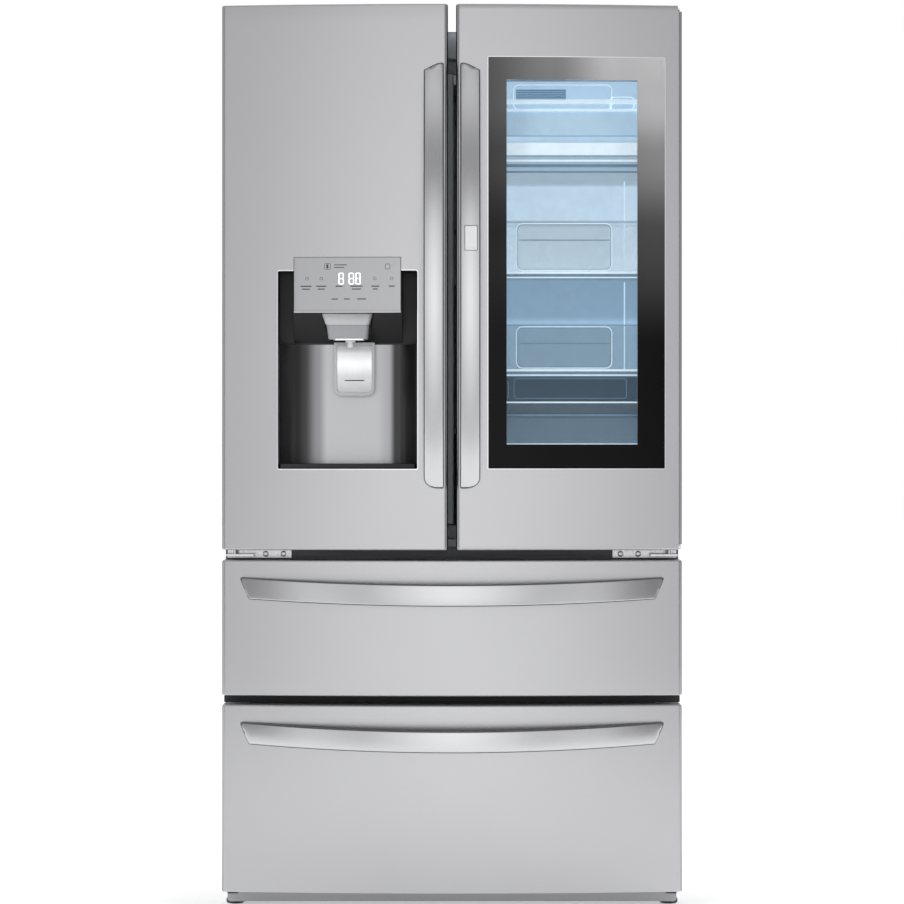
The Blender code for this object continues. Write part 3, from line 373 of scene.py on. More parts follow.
def loft(bm, loops, closed=False):
    """Skins loops of points. The two ends are capped unless it closes on itself."""
    rows = [[bm.verts.new(point) for point in loop] for loop in loops]
    pairs = list(zip(rows, rows[1:]))
    if closed:
        pairs.append((rows[-1], rows[0]))
    for first, second in pairs:
        for i in range(len(first)):
            j = (i + 1) % len(first)
            bm.faces.new((first[i], first[j], second[j], second[i]))
    if not closed:
        bm.faces.new(rows[0][::-1])
        bm.faces.new(rows[-1])


def slab(bm, axis, a, b, along, radius, edge=0.5):
    """A rounded plate: a and b are its spans across the axis."""
    edge = min(edge, (along[1] - along[0]) * 0.45, (a[1] - a[0]) * 0.4, (b[1] - b[0]) * 0.4)
    places = (
        (edge, along[0]),
        (edge * 0.3, along[0] + edge * 0.3),
        (0.0, along[0] + edge),
        (0.0, along[1] - edge),
        (edge * 0.3, along[1] - edge * 0.3),
        (edge, along[1]),
    )
    loops = []
    for inset, place in places:
        outline = round_rect(within(a, inset), within(b, inset), radius, 4)
        loops.append([at(axis, first, second, place) for first, second in outline])
    loft(bm, loops)


def band(bm, axis, a, b, radius, profile, steps=1):
    """A closed profile of (inset, along) swept round a rounded rectangle."""
    loops = []
    radii = radius if isinstance(radius, tuple) else (radius,) * 4
    for inset, along in profile:
        inner = tuple(corner - inset for corner in radii)
        outline = round_rect(within(a, inset), within(b, inset), inner, 4, steps)
        loops.append([at(axis, first, second, along) for first, second in outline])
    loft(bm, loops, closed=True)


def turned(bm, profile, centre, axis, sides):
    """A profile of (radius, place) turned about an axis. It starts and ends with a small flat."""
    loops = []
    for radius, place in profile:
        angles = (2 * math.pi * i / sides for i in range(sides))
        ring = ((centre[0] + radius * math.cos(t), centre[1] + radius * math.sin(t)) for t in angles)
        loops.append([at(axis, a, b, place) for a, b in ring])
    loft(bm, loops)


def face_y(x):
    return FACE_FRONT + FACE_SAG * (x / DOOR_HALF) ** 2


def bow(bm):
    """Bends what was built flat on the front plane onto the bowed face."""
    for vertex in bm.verts:
        vertex.co.y += face_y(vertex.co.x) - FACE_FRONT
    return bm


def bowed_slab(bm, x, z, front, back, edge=1.0):
    """A plate that follows the bowed face, with softened edges. front and back are its y at the middle."""
    ends = ((0.0, edge), (edge * 0.3, edge * 0.3), (edge, 0.0))
    rows = [(x[0] + step, inset) for step, inset in ends]
    rows += [(place, 0.0) for place in spaced(x[0] + edge, x[1] - edge, 12, ())[1:-1]]
    rows += [(x[1] - step, inset) for step, inset in ends[::-1]]
    loops = []
    for place, inset in rows:
        sag = face_y(place) - FACE_FRONT
        outline = round_rect((front + inset + sag, back - inset + sag), within(z, inset), edge, 3)
        loops.append([(place, depth, height) for depth, height in outline])
    loft(bm, loops)


def spaced(start, end, step, extra):
    """Places from start to end about a step apart, with the extra ones among them."""
    stops = sorted({start, end, *extra})
    places = []
    for a, b in zip(stops, stops[1:]):
        count = max(1, round((b - a) / step))
        places += [a + (b - a) * i / count for i in range(count)]
    return places + [end]


def mirrored(span, side):
    return (span[0], span[1]) if side > 0 else (-span[1], -span[0])


def link(name, bm, keep_normals=False):
    if not keep_normals:
        bmesh.ops.recalc_face_normals(bm, faces=bm.faces)
    for vertex in bm.verts:
        vertex.co *= MM
    mesh = bpy.data.meshes.new(name)
    bm.to_mesh(mesh)
    bm.free()
    item = bpy.data.objects.new(name, mesh)
    bpy.context.scene.collection.objects.link(item)
    return item


def carve(item, bm):
    """Cuts bm out of item for good."""
    cutter = link(item.name + "_cutter", bm)
    change = item.modifiers.new("carve", "BOOLEAN")
    change.operation = "DIFFERENCE"
    change.solver = "EXACT"
    change.object = cutter
    graph = bpy.context.evaluated_depsgraph_get()
    item.data = bpy.data.meshes.new_from_object(item.evaluated_get(graph))
    item.modifiers.clear()
    bpy.data.objects.remove(cutter, do_unlink=True)


def sharpen_rims(mesh):
    """Marks the open edges of a sheet, so that its thickness doesn't shade round them."""
    uses = {}
    for polygon in mesh.polygons:
        for key in polygon.edge_keys:
            uses[key] = uses.get(key, 0) + 1
    for edge in mesh.edges:
        if uses.get(edge.key) == 1:
            edge.use_edge_sharp = True


def dress(item, body, look, replaced=(), bevel=0.0, solid=0.0):
    """Material, edges and body of a piece."""
    item.data.materials.clear()
    item.data.materials.append(materials[look])
    if solid:
        thicken = item.modifiers.new("thickness", "SOLIDIFY")
        thicken.thickness = solid * MM
        thicken.offset = -1.0
    if bevel:
        edges = item.modifiers.new("soft_edges", "BEVEL")
        edges.width = bevel * MM
        edges.segments = 2
        edges.limit_method = "ANGLE"
        edges.angle_limit = math.radians(35)
        edges.harden_normals = False
    for polygon in item.data.polygons:
        polygon.use_smooth = True
    if not bevel:
        item.data.set_sharp_from_angle(angle=math.radians(38))
    if solid:
        sharpen_rims(item.data)
    weights = item.modifiers.new("flat_faces_stay_flat", "WEIGHTED_NORMAL")
    weights.keep_sharp = True
    weights.weight = 100
    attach(item, body)
    if replaced:
        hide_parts(*replaced)
    return item


def second_look(item, look, chosen):
    """Gives another material to the faces chosen by their centre in millimetres and their normal."""
    item.data.materials.append(materials[look])
    for polygon in item.data.polygons:
        if chosen(polygon.center / MM, polygon.normal):
            polygon.material_index = 1


def make(name, bm, body, look, replaced=(), **options):
    return dress(link(name, bm), body, look, replaced, **options)


def plates(name, body, look, *parts, replaced=()):
    """A piece made of slabs. Each part holds what slab takes after bm."""
    bm = bmesh.new()
    for part in parts:
        slab(bm, *part)
    return make(name, bm, body, look, replaced)


def rounded_copy(name, node, body, look, bevel):
    """A copy of a CAD node with its facets merged and its edges rounded, which replaces the node."""
    bm = bmesh.new()
    bm.from_mesh(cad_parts[node].data)
    bmesh.ops.remove_doubles(bm, verts=bm.verts, dist=0.00001)
    bmesh.ops.dissolve_limit(bm, angle_limit=math.radians(0.4), verts=bm.verts, edges=bm.edges)
    for vertex in bm.verts:
        vertex.co /= MM
    return make(name, bm, body, look, (node,), bevel=bevel)


# Doors and drawer fronts

HEM = ((0.0, 3.0), (0.35, 1.9), (1.2, 0.8), (3.0, 0.0))  # from the end, and how far in


def plan(x0, x1, inset, rear, places, bend):
    """Plan of a bowed front from its left rear corner, round the face, to its right rear corner.

    bend is the y of one more point on each side.
    """
    radius = EDGE_RADIUS
    small = radius - inset
    left = (x0 + radius, face_y(x0 + radius) + radius)
    right = (x1 - radius, face_y(x1 - radius) + radius)
    corner = 6
    points = [(x0 + inset, rear), (x0 + inset, bend)]
    for i in range(corner):
        t = math.pi + math.pi / 2 * i / corner
        points.append((left[0] + small * math.cos(t), left[1] + small * math.sin(t)))
    points += [(x, face_y(x) + inset) for x in places]
    for i in range(1, corner + 1):
        t = -math.pi / 2 + math.pi / 2 * i / corner
        points.append((right[0] + small * math.cos(t), right[1] + small * math.sin(t)))
    points += [(x1 - inset, bend), (x1 - inset, rear)]
    return points


def bowed_front(name, x, z, rear, body, replaced, holes=(), notch_y=-350.0, notches=()):
    """A door's steel skin: bowed face, rolled sides and hemmed top and bottom, with holes left out.

    At its outer side the skin behind notch_y is left out over the spans of height in notches.
    """
    bend = max(notch_y, face_y(DOOR_HALF - EDGE_RADIUS) + EDGE_RADIUS + 1)
    places = spaced(x[0] + EDGE_RADIUS, x[1] - EDGE_RADIUS, 16, [edge for hole in holes for edge in hole[0]])
    levels = [edge for hole in holes for edge in hole[1]]
    levels += [edge for span in notches for edge in span if z[0] + 4 < edge < z[1] - 4]
    heights = spaced(z[0] + HEM[-1][0], z[1] - HEM[-1][0], 60, levels)
    rows = [(z[0] + rise, inset) for rise, inset in HEM[:-1]]
    rows += [(height, 0.0) for height in heights]
    rows += [(z[1] - rise, inset) for rise, inset in HEM[-2::-1]]
    bm = bmesh.new()
    grid = []
    for height, inset in rows:
        outline = plan(x[0], x[1], inset, rear, places, bend)
        grid.append([bm.verts.new((a, b, height)) for a, b in outline])
    for low, high in zip(grid, grid[1:]):
        for i in range(len(low) - 1):
            middle = (low[i].co + high[i + 1].co) / 2
            inside = any(a[0] < middle.x < a[1] and b[0] < middle.z < b[1] for a, b in holes)
            at_face = middle.y < rear - 20
            beside = abs(middle.x) > DOOR_HALF - EDGE_RADIUS and middle.y > notch_y
            notched = beside and any(span[0] < middle.z < span[1] for span in notches)
            if not (inside and at_face) and not notched:
                bm.faces.new((low[i], low[i + 1], high[i + 1], high[i]))
    loose = [vertex for vertex in bm.verts if not vertex.link_faces]
    bmesh.ops.delete(bm, geom=loose, context="VERTS")
    item = dress(link(name, bm, keep_normals=True), body, "brushed_door", replaced, solid=SKIN_THICK)
    # The rolled sides take darker steel as a painted dark reflection.
    second_look(item, "painted_dark_edge_steel", lambda centre, normal: abs(normal.x) > 0.62)
    return item


def at_door_side(centre, normal):
    """Whether a face is on the outside of a door, round its edge."""
    ends = centre.z > DOOR_Z[1] - 4 or centre.z < DOOR_Z[0] + 4
    sides = abs(centre.x) > DOOR_HALF - 4 or abs(centre.x) < DOOR_GAP / 2 + 4
    return abs(normal.y) < 0.5 and (ends or sides)


def build_fronts():
    half_gap = DOOR_GAP / 2
    recess = (within(RECESS_X, -2.2), within(RECESS_Z, -2.2))
    panel = (within(PANEL_X, -0.5), within(PANEL_Z, -0.5))
    left_x = (-DOOR_HALF, -half_gap)
    left = ("left_door_face", left_x, DOOR_Z, DOOR_REAR, "left_door", ("left_door_skin",), (recess, panel))
    bowed_front(*left, LEFT_NOTCH_Y, LEFT_NOTCHES)
    glass = (within(GLASS_X, -0.4), within(GLASS_Z, -0.4))
    right_x = (half_gap, DOOR_HALF)
    right = ("showcase_face", right_x, DOOR_Z, SHOWCASE_REAR, "showcase_door", ("showcase_skin",), (glass,))
    bowed_front(*right, SHOWCASE_NOTCH_Y, SHOWCASE_NOTCHES)
    for name, node, body in (
        ("left_door_body", "left_door_core", "left_door"),
        ("right_door_body", "right_door_frame", "right_door"),
    ):
        item = rounded_copy(name, node, body, "white_moulded", 1.6)
        second_look(item, "kick_grey", at_door_side)
    rounded_copy("showcase_body", "showcase_core", "showcase_door", "grey_moulded", 0.8)
    for word, z in (("upper", UPPER_FRONT_Z), ("lower", LOWER_FRONT_Z)):
        x = (-DOOR_HALF, DOOR_HALF)
        front = word + "_drawer_face"
        bowed_front(front, x, z, DOOR_REAR - 8, word + "_drawer", (word + "_drawer_front",))
        inner = bmesh.new()
        places = spaced(x[0] + EDGE_RADIUS, x[1] - EDGE_RADIUS, 40, ())
        outline = plan(x[0], x[1], 2.2, DOOR_REAR, places, DOOR_REAR - 20)
        heights = within(z, 0.8)
        loft(inner, [[(a, b, height) for a, b in outline] for height in heights])
        make(word + "_drawer_body", inner, word + "_drawer", "grey_moulded", bevel=1.2)


# Handles


def bar_section(low, high, front, back, crown):
    """Section of a handle as (across, y) points: rounded edges and a slightly crowned front."""
    radius = min(3.0, (high - low) * 0.38)
    base = front + crown
    points = [(low + 0.8, back), (high - 0.8, back), (high, back - 0.8)]
    for i in range(5):
        t = -math.pi / 2 * i / 4
        points.append((high - radius + radius * math.cos(t), base + radius + radius * math.sin(t)))
    for i in range(1, 6):
        share = 1 - 2 * i / 6
        across = (low + high) / 2 + share * (high - low - 2 * radius) / 2
        points.append((across, front + crown * share * share))
    for i in range(5):
        t = -math.pi / 2 - math.pi / 2 * i / 4
        points.append((low + radius + radius * math.cos(t), base + radius + radius * math.sin(t)))
    points.append((low, back - 0.8))
    return points


def end_rows(start, end):
    """Places along a handle with how far the section shrinks there, closer together near the ends."""
    near = [(0.0, 2.6), (0.6, 1.3), (1.8, 0.4), (3.2, 0.0)]
    near += [(3.2 + 1.6 * i, 0.0) for i in range(1, 22)]
    rows = [(start + step, shrink) for step, shrink in near]
    reach = near[-1][0]
    span = end - start - 2 * reach
    count = round(span / 12)
    rows += [(start + reach + span * i / count, 0.0) for i in range(1, count)]
    rows += [(end - step, shrink) for step, shrink in near[::-1]]
    return rows


def backing(distance, plain, seat):
    """The bar's back: on the door at its ends, and free of it between them."""
    if distance < 22:
        return seat
    if distance > 34:
        return plain
    share = (1 - math.cos(math.pi * (distance - 22) / 12)) / 2
    return seat + (plain - seat) * share


def door_handle(name, side, body, node):
    """A door's bar: it stands out most at mid height, and its outer corners are cut back."""
    low, high = DOOR_HANDLE_Z
    middle, half = (low + high) / 2, (high - low) / 2
    loops = []
    for z, shrink in end_rows(low, high):
        front = HANDLE_FRONT + DOOR_HANDLE_SAG * ((z - middle) / half) ** 2
        top, bottom = max(0.0, 1 - (high - z) / 14), max(0.0, 1 - (z - low) / 22)
        lost = 28 * top + 27 * (1 - math.sqrt(1 - min(bottom, 0.999) ** 2))
        inner, outer = DOOR_HANDLE_X[0] + shrink, DOOR_HANDLE_X[1] - shrink - lost
        back = backing(min(z - low, high - z), front + HANDLE_THICK, face_y(DOOR_HANDLE_X[0]) - 0.4)
        section = bar_section(inner, outer, front + shrink, back, 1.0)
        loops.append([(side * across, y, z) for across, y in section])
    bm = bmesh.new()
    loft(bm, loops)
    item = link(name, bm)
    if side > 0:
        pocket = bmesh.new()
        pocket_x = within(BUTTON_X, -0.7)
        pocket_z = within(BUTTON_Z, -0.7)
        slab(pocket, "Y", pocket_x, pocket_z, (-480, -450.7), 2.0)
        carve(item, pocket)
    dress(item, body, "brushed_bar", (node,))
    # The bar's rounded edges and sides take darker steel as a painted dark reflection.
    second_look(item, "painted_dark_edge_steel", lambda centre, normal: normal.y > -0.9)


def drawer_handle(name, top, body, node):
    """A drawer's bar: bowed forward and hanging lower in the middle, with slanted ends."""
    half = DRAWER_HANDLE_HALF
    loops = []
    for x, shrink in end_rows(-half, half):
        front = HANDLE_FRONT + DRAWER_HANDLE_SAG * (x / half) ** 2
        share = max(0.0, (abs(x) - (half - DRAWER_HANDLE_SLANT)) / DRAWER_HANDLE_SLANT)
        lost = 0.86 * DRAWER_HANDLE_TALL * share
        high = top - DRAWER_HANDLE_ARCH * (1 - (x / half) ** 2)
        low = high - DRAWER_HANDLE_TALL + shrink + lost
        seat = face_y(x) - 0.4
        back = backing(half - abs(x), front + HANDLE_THICK, seat)
        section = bar_section(low, high - shrink, front + shrink, min(back, seat), 0.4)
        loops.append([(x, y, across) for across, y in section])
    bm = bmesh.new()
    loft(bm, loops)
    item = make(name, bm, body, "brushed_across", (node,))
    # The bar's rounded edges and sides take darker steel as a painted dark reflection.
    second_look(item, "painted_dark_edge_steel", lambda centre, normal: normal.y > -0.9)


def build_handles():
    door_handle("left_door_bar", -1, "left_door", "left_handle")
    door_handle("right_door_bar", 1, "showcase_door", "right_handle")
    drawer_handle("upper_drawer_bar", UPPER_HANDLE_TOP, "upper_drawer", "upper_drawer_handle")
    drawer_handle("lower_drawer_bar", LOWER_HANDLE_TOP, "lower_drawer", "lower_drawer_handle")
    button = bmesh.new()
    slab(button, "Y", BUTTON_X, BUTTON_Z, (-459.9, -454.7), 2.0, 0.9)
    slab(button, "Y", within(BUTTON_X, 3), (BUTTON_Z[0] + 2, BUTTON_Z[0] + 5), (-460.2, -459.5), 1, 0.2)
    item = make("release_key", button, "release_button", "brushed_bar", ("handle_button",))
    # The key's edges take darker steel as a painted dark reflection.
    second_look(item, "painted_dark_edge_steel", lambda centre, normal: normal.y > -0.8)


# Showcase door


def rect_loop(a, b, y):
    """A nearly sharp rectangle at y, with points enough along its sides to bend."""
    return [(first, y, second) for first, second in round_rect(a, b, 1.0, 3, 24)]


def build_glass():
    border = bmesh.new()
    front, back = FACE_FRONT + 0.8, FACE_FRONT + 4.8
    inner_x = within(WINDOW_X, 1.0)
    inner_z = within(WINDOW_Z, 1.0)
    grown_x, grown_z = within(GLASS_X, 0.5), within(GLASS_Z, 0.5)
    loops = [
        rect_loop(GLASS_X, GLASS_Z, front + 0.5),
        rect_loop(GLASS_X, GLASS_Z, back),
        rect_loop(inner_x, inner_z, back),
        rect_loop(inner_x, inner_z, front),
    ]
    across = 6
    for i in range(1, across + 1):
        share = i / across
        a = [inner_x[k] + (grown_x[k] - inner_x[k]) * share for k in (0, 1)]
        b = [inner_z[k] + (grown_z[k] - inner_z[k]) * share for k in (0, 1)]
        loops.append(rect_loop(a, b, front))
    loft(border, loops, closed=True)
    make("glass_border", bow(border), "showcase_door", "mirror_glass", ("showcase_glass",))
    pane = bmesh.new()
    span = (front + 0.4, front + 0.4 + PANE_THICK)
    bowed_slab(pane, within(inner_x, 0.2), within(inner_z, 0.2), *span, 0.3)
    make("window_pane_sheet", pane, "showcase_door", "window_pane")
    trim = bmesh.new()
    near, far = FACE_FRONT + 0.3, FACE_FRONT + 0.9
    profile = ((-0.4, near), (1.0, near), (1.0, far), (-0.4, far))
    band(trim, "Y", GLASS_X, GLASS_Z, 1.2, profile, 16)
    make("glass_trim", bow(trim), "showcase_door", "bright_trim")


def tray_loops(x, y, z, wall, radius, taper, lip):
    """Loops of a moulded bin from its underside, up outside, over the rim and down to its floor."""
    low, high = z
    steps = (
        (taper + 4, low, 0.6),
        (taper + 1.2, low + 1.0, 0.8),
        (taper, low + 4, 1.0),
        (lip, high - 9, 1.0),
        (0.0, high - 8, 1.0),
        (0.0, high - 1, 1.0),
        (0.8, high, 1.0),
        (lip + wall - 0.8, high, 0.8),
        (lip + wall, high - 1, 0.8),
        (taper + wall, low + wall + 4, 0.8),
        (taper + wall + 4, low + wall, 0.6),
    )
    loops = []
    for inset, height, share in steps:
        outline = round_rect(within(x, inset), within(y, inset), radius * share, 5)
        loops.append([(a, b, height) for a, b in outline])
    return loops


def bin_front(name, body, x, z, y, panel_x):
    """The raised rounded panel on a clear bin's front, its outline as a painted highlight, and the rims above
    and below as painted highlight and painted shade lines.
    """
    panel_z = (z[0] + 14, z[1] - 6)
    plates(
        name + "_panel", body, "frosted_plastic",
        ("Y", panel_x, panel_z, (y - 0.9, y + 1.2), 12, 0.8),
    )
    lines = bmesh.new()
    outline = ((-0.6, y - 0.6), (0, y - 1.8), (0.7, y - 1.8), (1.2, y - 0.6))
    band(lines, "Y", panel_x, panel_z, 12, outline)
    slab(lines, "Y", within(x, 8), (z[0] + 8, z[0] + 12), (y - 1.4, y + 1.0), 1.5, 0.6)
    slab(lines, "Y", within(x, 8), (z[0] - 1, z[0] + 1.5), (y - 1.4, y + 1.0), 1.2, 0.5)
    make(name + "_lines", lines, body, "painted_glow_line")
    shades = bmesh.new()
    slab(shades, "Y", within(panel_x, 6), (z[1] - 40, z[1] - 38), (y - 1.8, y - 0.9), 0.8, 0.4)
    slab(shades, "Y", within(x, 8), (z[0] + 2.5, z[0] + 7), (y - 1.2, y + 1.0), 1.5, 0.6)
    slab(shades, "Y", within(x, 8), (z[1] - 4, z[1] - 2.5), (y - 1.6, y + 1.0), 0.7, 0.4)
    # A ring of painted shade round the panel.
    painted_groove_shade = ((0, y - 1.3), (0.9, y - 1.3), (0.9, y - 0.7), (0, y - 0.7))
    band(shades, "Y", within(panel_x, 2.2), within(panel_z, 2.2), 10, painted_groove_shade)
    make(name + "_shades", shades, body, "shade_line")


def build_door_bins():
    x = OPENING_X
    for word, low, high in DOOR_BINS:
        bm = bmesh.new()
        loft(bm, tray_loops(x, DOOR_BIN_Y, (low, high), 3, 12, 3, 2))
        node = "right_door_bin_" + word
        make("door_bin_" + word, bm, "right_door", "clear_plastic", (node,))
    for word, low, high in DOOR_BINS[1:3]:
        bin_front("door_bin_" + word + "_front", "right_door", x, (low, high), DOOR_BIN_Y[0], (127, 316))
    # The bin rails, guides and lines below glow as painted highlights.
    rails = bmesh.new()
    for height, tall in ((1487, 24), (1474, 4)):
        slab(rails, "Y", within(x, 6), (height, height + tall), (-340, -337), 1.2, 0.7)
    make("door_bin_top_rails", rails, "right_door", "painted_glow_line")
    # Dark bands on the top bin are painted shade lines.
    shades = bmesh.new()
    for height, tall in ((1524, 1.3), (1484.4, 1.3), (1463, 6), (1452, 3.5)):
        slab(shades, "Y", within(x, 6), (height, height + tall), (-339.6, -337.4), 0.6, 0.4)
    make("door_bin_top_shade_lines", shades, "right_door", "shade_line")
    guide = bmesh.new()
    for low, high in ((1258, 1436), (1060, 1236)):
        slab(guide, "Y", (340, 342.2), (low, high), (-332, -328), 0.9, 0.5)
    make("door_bin_guides", guide, "right_door", "painted_glow_line")
    # The dark frames and band on the bottom bin are painted shade lines.
    frames = bmesh.new()
    profile = ((0, -339.6), (1.2, -339.6), (1.2, -338.2), (0, -338.2))
    band(frames, "Y", (122, 345), (1006, 1046), 5, profile)
    band(frames, "Y", (x[0] + 20, 112), (1006, 1040), 5, profile)
    slab(frames, "Y", within(x, 6), (971, 975), (-339.6, -337.4), 1.0, 0.5)
    make("door_bin_bottom_shade_frames", frames, "right_door", "shade_line")
    plates(
        "door_bin_bottom_lines", "right_door", "painted_glow_line",
        ("Y", within(x, 6), (997, 1000), (-340, -337), 1.2, 0.7),
        ("Y", within(x, 6), (915.5, 917.5), (-340, -337), 0.9, 0.5),
    )


def build_showcase_inside():
    # The showcase's back wall glows as painted light, its level changing with height, with a band of painted
    # shade low down.
    for word, z, look in (("low", (756, 1257.8), "painted_glow_wall_low"), ("high", (1258, 1654), "painted_glow_wall")):
        plates(
            "showcase_wall_" + word, "right_door", look,
            ("Y", within(OPENING_X, 1), z, (-209, -206.5), 1, 0.4),
        )
    cover = bmesh.new()
    slab(cover, "Y", within(OPENING_X, 1), (756, 1654), (-206.3, -205.2), 4, 0.4)
    for low, high in ((960, 1240), (1290, 1610)):
        slab(cover, "Y", within(OPENING_X, 34), (low, high), (-205.4, -202.2), 22, 1.4)
    make("showcase_back_cover", cover, "right_door", "white_moulded")
    seal = bmesh.new()
    bead = ((0, -345.2), (0, -342.4), (7, -342.4), (7, -345.2))
    band(seal, "Y", within(OPENING_X, -12), (748, 1664), 6, bead)
    make("showcase_seal", seal, "right_door", "rubber_grey")
    # The air housing glows as painted light from the lamps.
    plates(
        "air_housing", "right_door", "painted_glow_housing",
        ("Y", (98, 372), (1526, 1571), (-322, -318), 3, 1.0),
        ("Z", (98, 372), (-320, -215), (1571, 1575), 2, 0.8),
        ("Y", (98, 372), (1578, 1592), (-318, -312), 4, 1.2),
    )
    # The brackets glow as painted highlights.
    brackets = bmesh.new()
    curve = ((0, -320), (2.2, -320), (2.2, -316), (0, -316))
    band(brackets, "Y", (121, 318), (1578, 1629), 11, curve)
    band(brackets, "Y", (312, 362), (1578, 1605), 9, curve)
    slab(brackets, "Y", (100, 370), (1591, 1599), (-322, -317), 1.5, 0.8)
    slab(brackets, "Y", (100, 370), (1576, 1580), (-322, -317), 0.9, 0.5)
    make("air_housing_brackets", brackets, "right_door", "painted_glow_line")
    # The louvre slats are painted shade lines.
    louvre = bmesh.new()
    for i in range(5):
        low = 1601 + 4.4 * i
        slab(louvre, "Y", (127, 227), (low, low + 2.6), (-300, -290), 1, 0.4)
    make("air_louvre", louvre, "right_door", "shade_line")
    lamps = bmesh.new()
    for left in (OPENING_X[0] + 0.6, OPENING_X[1] - 4.6):
        for low, high in ((770, 876), (1006, 1048), (1160, 1240), (1364, 1430), (1530, 1640)):
            slab(lamps, "Y", (left, left + 4), (low, high), (-330, -322), 1.5, 0.8)
    slab(lamps, "Z", (90, 360), (-300, -286), (1648, 1651), 2, 0.8)
    make("showcase_lamps", lamps, "right_door", "lamp_cool")


# Dispenser


def eight(bm, x, z, y):
    """A display digit with all seven bars lit, so it gives no reading. Its lower left corner is at x, z."""
    wide, tall, thick = 10, 22, 1.5
    half = tall / 2
    for low in (z, z + half - thick / 2, z + tall - thick):
        slab(bm, "Y", (x + 1, x + wide - 1), (low, low + thick), (y, y + LIT_FACE), 0.5, 0.1)
    for left in (x, x + wide - thick):
        for up in ((z + 1, z + half - 0.6), (z + half + 0.6, z + tall - 1)):
            slab(bm, "Y", (left, left + thick), up, (y, y + LIT_FACE), 0.5, 0.1)


def ring_mark(bm, x, z, radius, thick, y):
    profile = ((0, y), (thick, y), (thick, y + LIT_FACE), (0, y + LIT_FACE))
    band(bm, "Y", (x - radius, x + radius), (z - radius, z + radius), radius, profile)


def build_panel():
    face = FACE_FRONT - 2.0
    plate = bmesh.new()
    bowed_slab(plate, PANEL_X, PANEL_Z, face, FACE_FRONT + 12, 1.4)
    bowed_slab(plate, PANEL_X, (1173.2, 1178.5), face - 0.9, face + 2, 0.7)
    item = make("control_face", plate, "left_door", "panel_steel", ("control_panel",))
    second_look(item, "bright_trim", lambda centre, normal: 1172 < centre.z < 1175.5 and normal.y < 0.1)
    lit = bmesh.new()
    for x in (-222, -202, -189):
        eight(lit, x, 1229, face - 0.3)
    make("readout", bow(lit), "left_door", "lamp_digit")
    marks = bmesh.new()
    for x, wide in ((-297, 22), (-266, 20), (-228, 14), (-199, 24), (-158, 16), (-124, 12)):
        slab(marks, "Y", (x, x + wide), (1224, 1226.2), (face - 0.2, face + 0.2), 1, 0.1)
        if wide > 15:
            slab(marks, "Y", (x + 3, x + wide - 3), (1218.5, 1220.5), (face - 0.2, face + 0.2), 1, 0.1)
    for x, wide in ((-236, 13), (-212, 12), (-186, 18)):
        slab(marks, "Y", (x, x + wide), (1199, 1201), (face - 0.2, face + 0.2), 1, 0.1)
    slab(marks, "Y", (-231, -206), (1266, 1267.6), (face - 0.2, face + 0.2), 0.8, 0.1)
    slab(marks, "Y", (-231, -211), (1261, 1262.6), (face - 0.2, face + 0.2), 0.8, 0.1)
    thin = ((0, face - 0.2), (0.9, face - 0.2), (0.9, face + 0.2), (0, face + 0.2))
    band(marks, "Y", (-250, -238), (1258, 1270), 2, thin)
    slab(marks, "Y", (-246, -242), (1260, 1268), (face - 0.2, face + 0.2), 1, 0.1)
    band(marks, "Y", (-131, -121), (1258, 1269), 3, thin)
    for x in (-284, -256, -151, -118):
        ring_mark(marks, x, 1240, 3.2, 0.8, face - 0.2)
    make("panel_marks", bow(marks), "left_door", "dark_print_and_shade")


def build_niche():
    rounded_copy("dispenser_shell", "dispenser_housing", "left_door", "dark_moulded", 0.5)
    trim = bmesh.new()
    front, back = FACE_FRONT - 0.9, FACE_FRONT + 1.5
    step = front + 0.6
    profile = ((-3.6, back), (-3.6, step), (-3.1, front), (-1.3, front), (-0.7, step), (-0.7, back))
    band(trim, "Y", RECESS_X, RECESS_Z, 2.0, profile, 14)
    item = link("dispenser_trim", bow(trim))
    gap = bmesh.new()
    slab(gap, "Y", within(PANEL_X, -0.6), (1230, 1300), (-440, -340), 1)
    carve(item, gap)
    dress(item, "left_door", "bright_trim")
    liner = bmesh.new()
    curve = []
    left, right = RECESS_X[0] + 0.9, RECESS_X[1] - 0.9
    back = RECESS_BACK - 1.2
    for i in range(13):
        t = math.pi / 2 * i / 12
        edge = face_y(left) + 3
        curve.append((left + 56 * (1 - math.cos(t)), edge + (back - edge) * math.sin(t)))
    for i in range(12, -1, -1):
        t = math.pi / 2 * i / 12
        edge = face_y(right) + 3
        curve.append((right - 36 * (1 - math.cos(t)), edge + (back - edge) * math.sin(t)))
    rows = []
    for height in (RECESS_Z[0] + 9.5, 900, 960, 1020, 1080, 1113):
        rows.append([liner.verts.new((x, y, height)) for x, y in curve])
    for low, high in zip(rows, rows[1:]):
        for i in range(len(low) - 1):
            liner.faces.new((low[i], low[i + 1], high[i + 1], high[i]))
    item = link("niche_liner", liner, keep_normals=True)
    dress(item, "left_door", "niche_steel", solid=0.8)
    grate = bmesh.new()
    for i in range(26):
        left = RECESS_X[0] + 8 + 10 * i
        slab(grate, "Z", (left, left + 5), (-372, -325), (RECESS_Z[0] + 6.6, RECESS_Z[0] + 8.6), 1.5, 0.5)
    for y in (-370, -330):
        slab(grate, "Z", within(RECESS_X, 5), (y, y + 4), (RECESS_Z[0] + 6, RECESS_Z[0] + 8), 1, 0.5)
    make("drip_grate", grate, "drip_pan", "panel_steel")
    pan = bmesh.new()
    pan_x, pan_y = within(RECESS_X, 2), (-378, RECESS_BACK - 2)
    band(pan, "Z", pan_x, pan_y, 4, ((0, 869), (0, 876.5), (0.8, 877.3), (2, 877), (2.4, 869)))
    slab(pan, "Z", within(pan_x, 1), within(pan_y, 1), (868.7, 870.5), 4, 0.4)
    make("drip_pan_shell", pan, "drip_pan", "dark_moulded", ("drip_tray",))


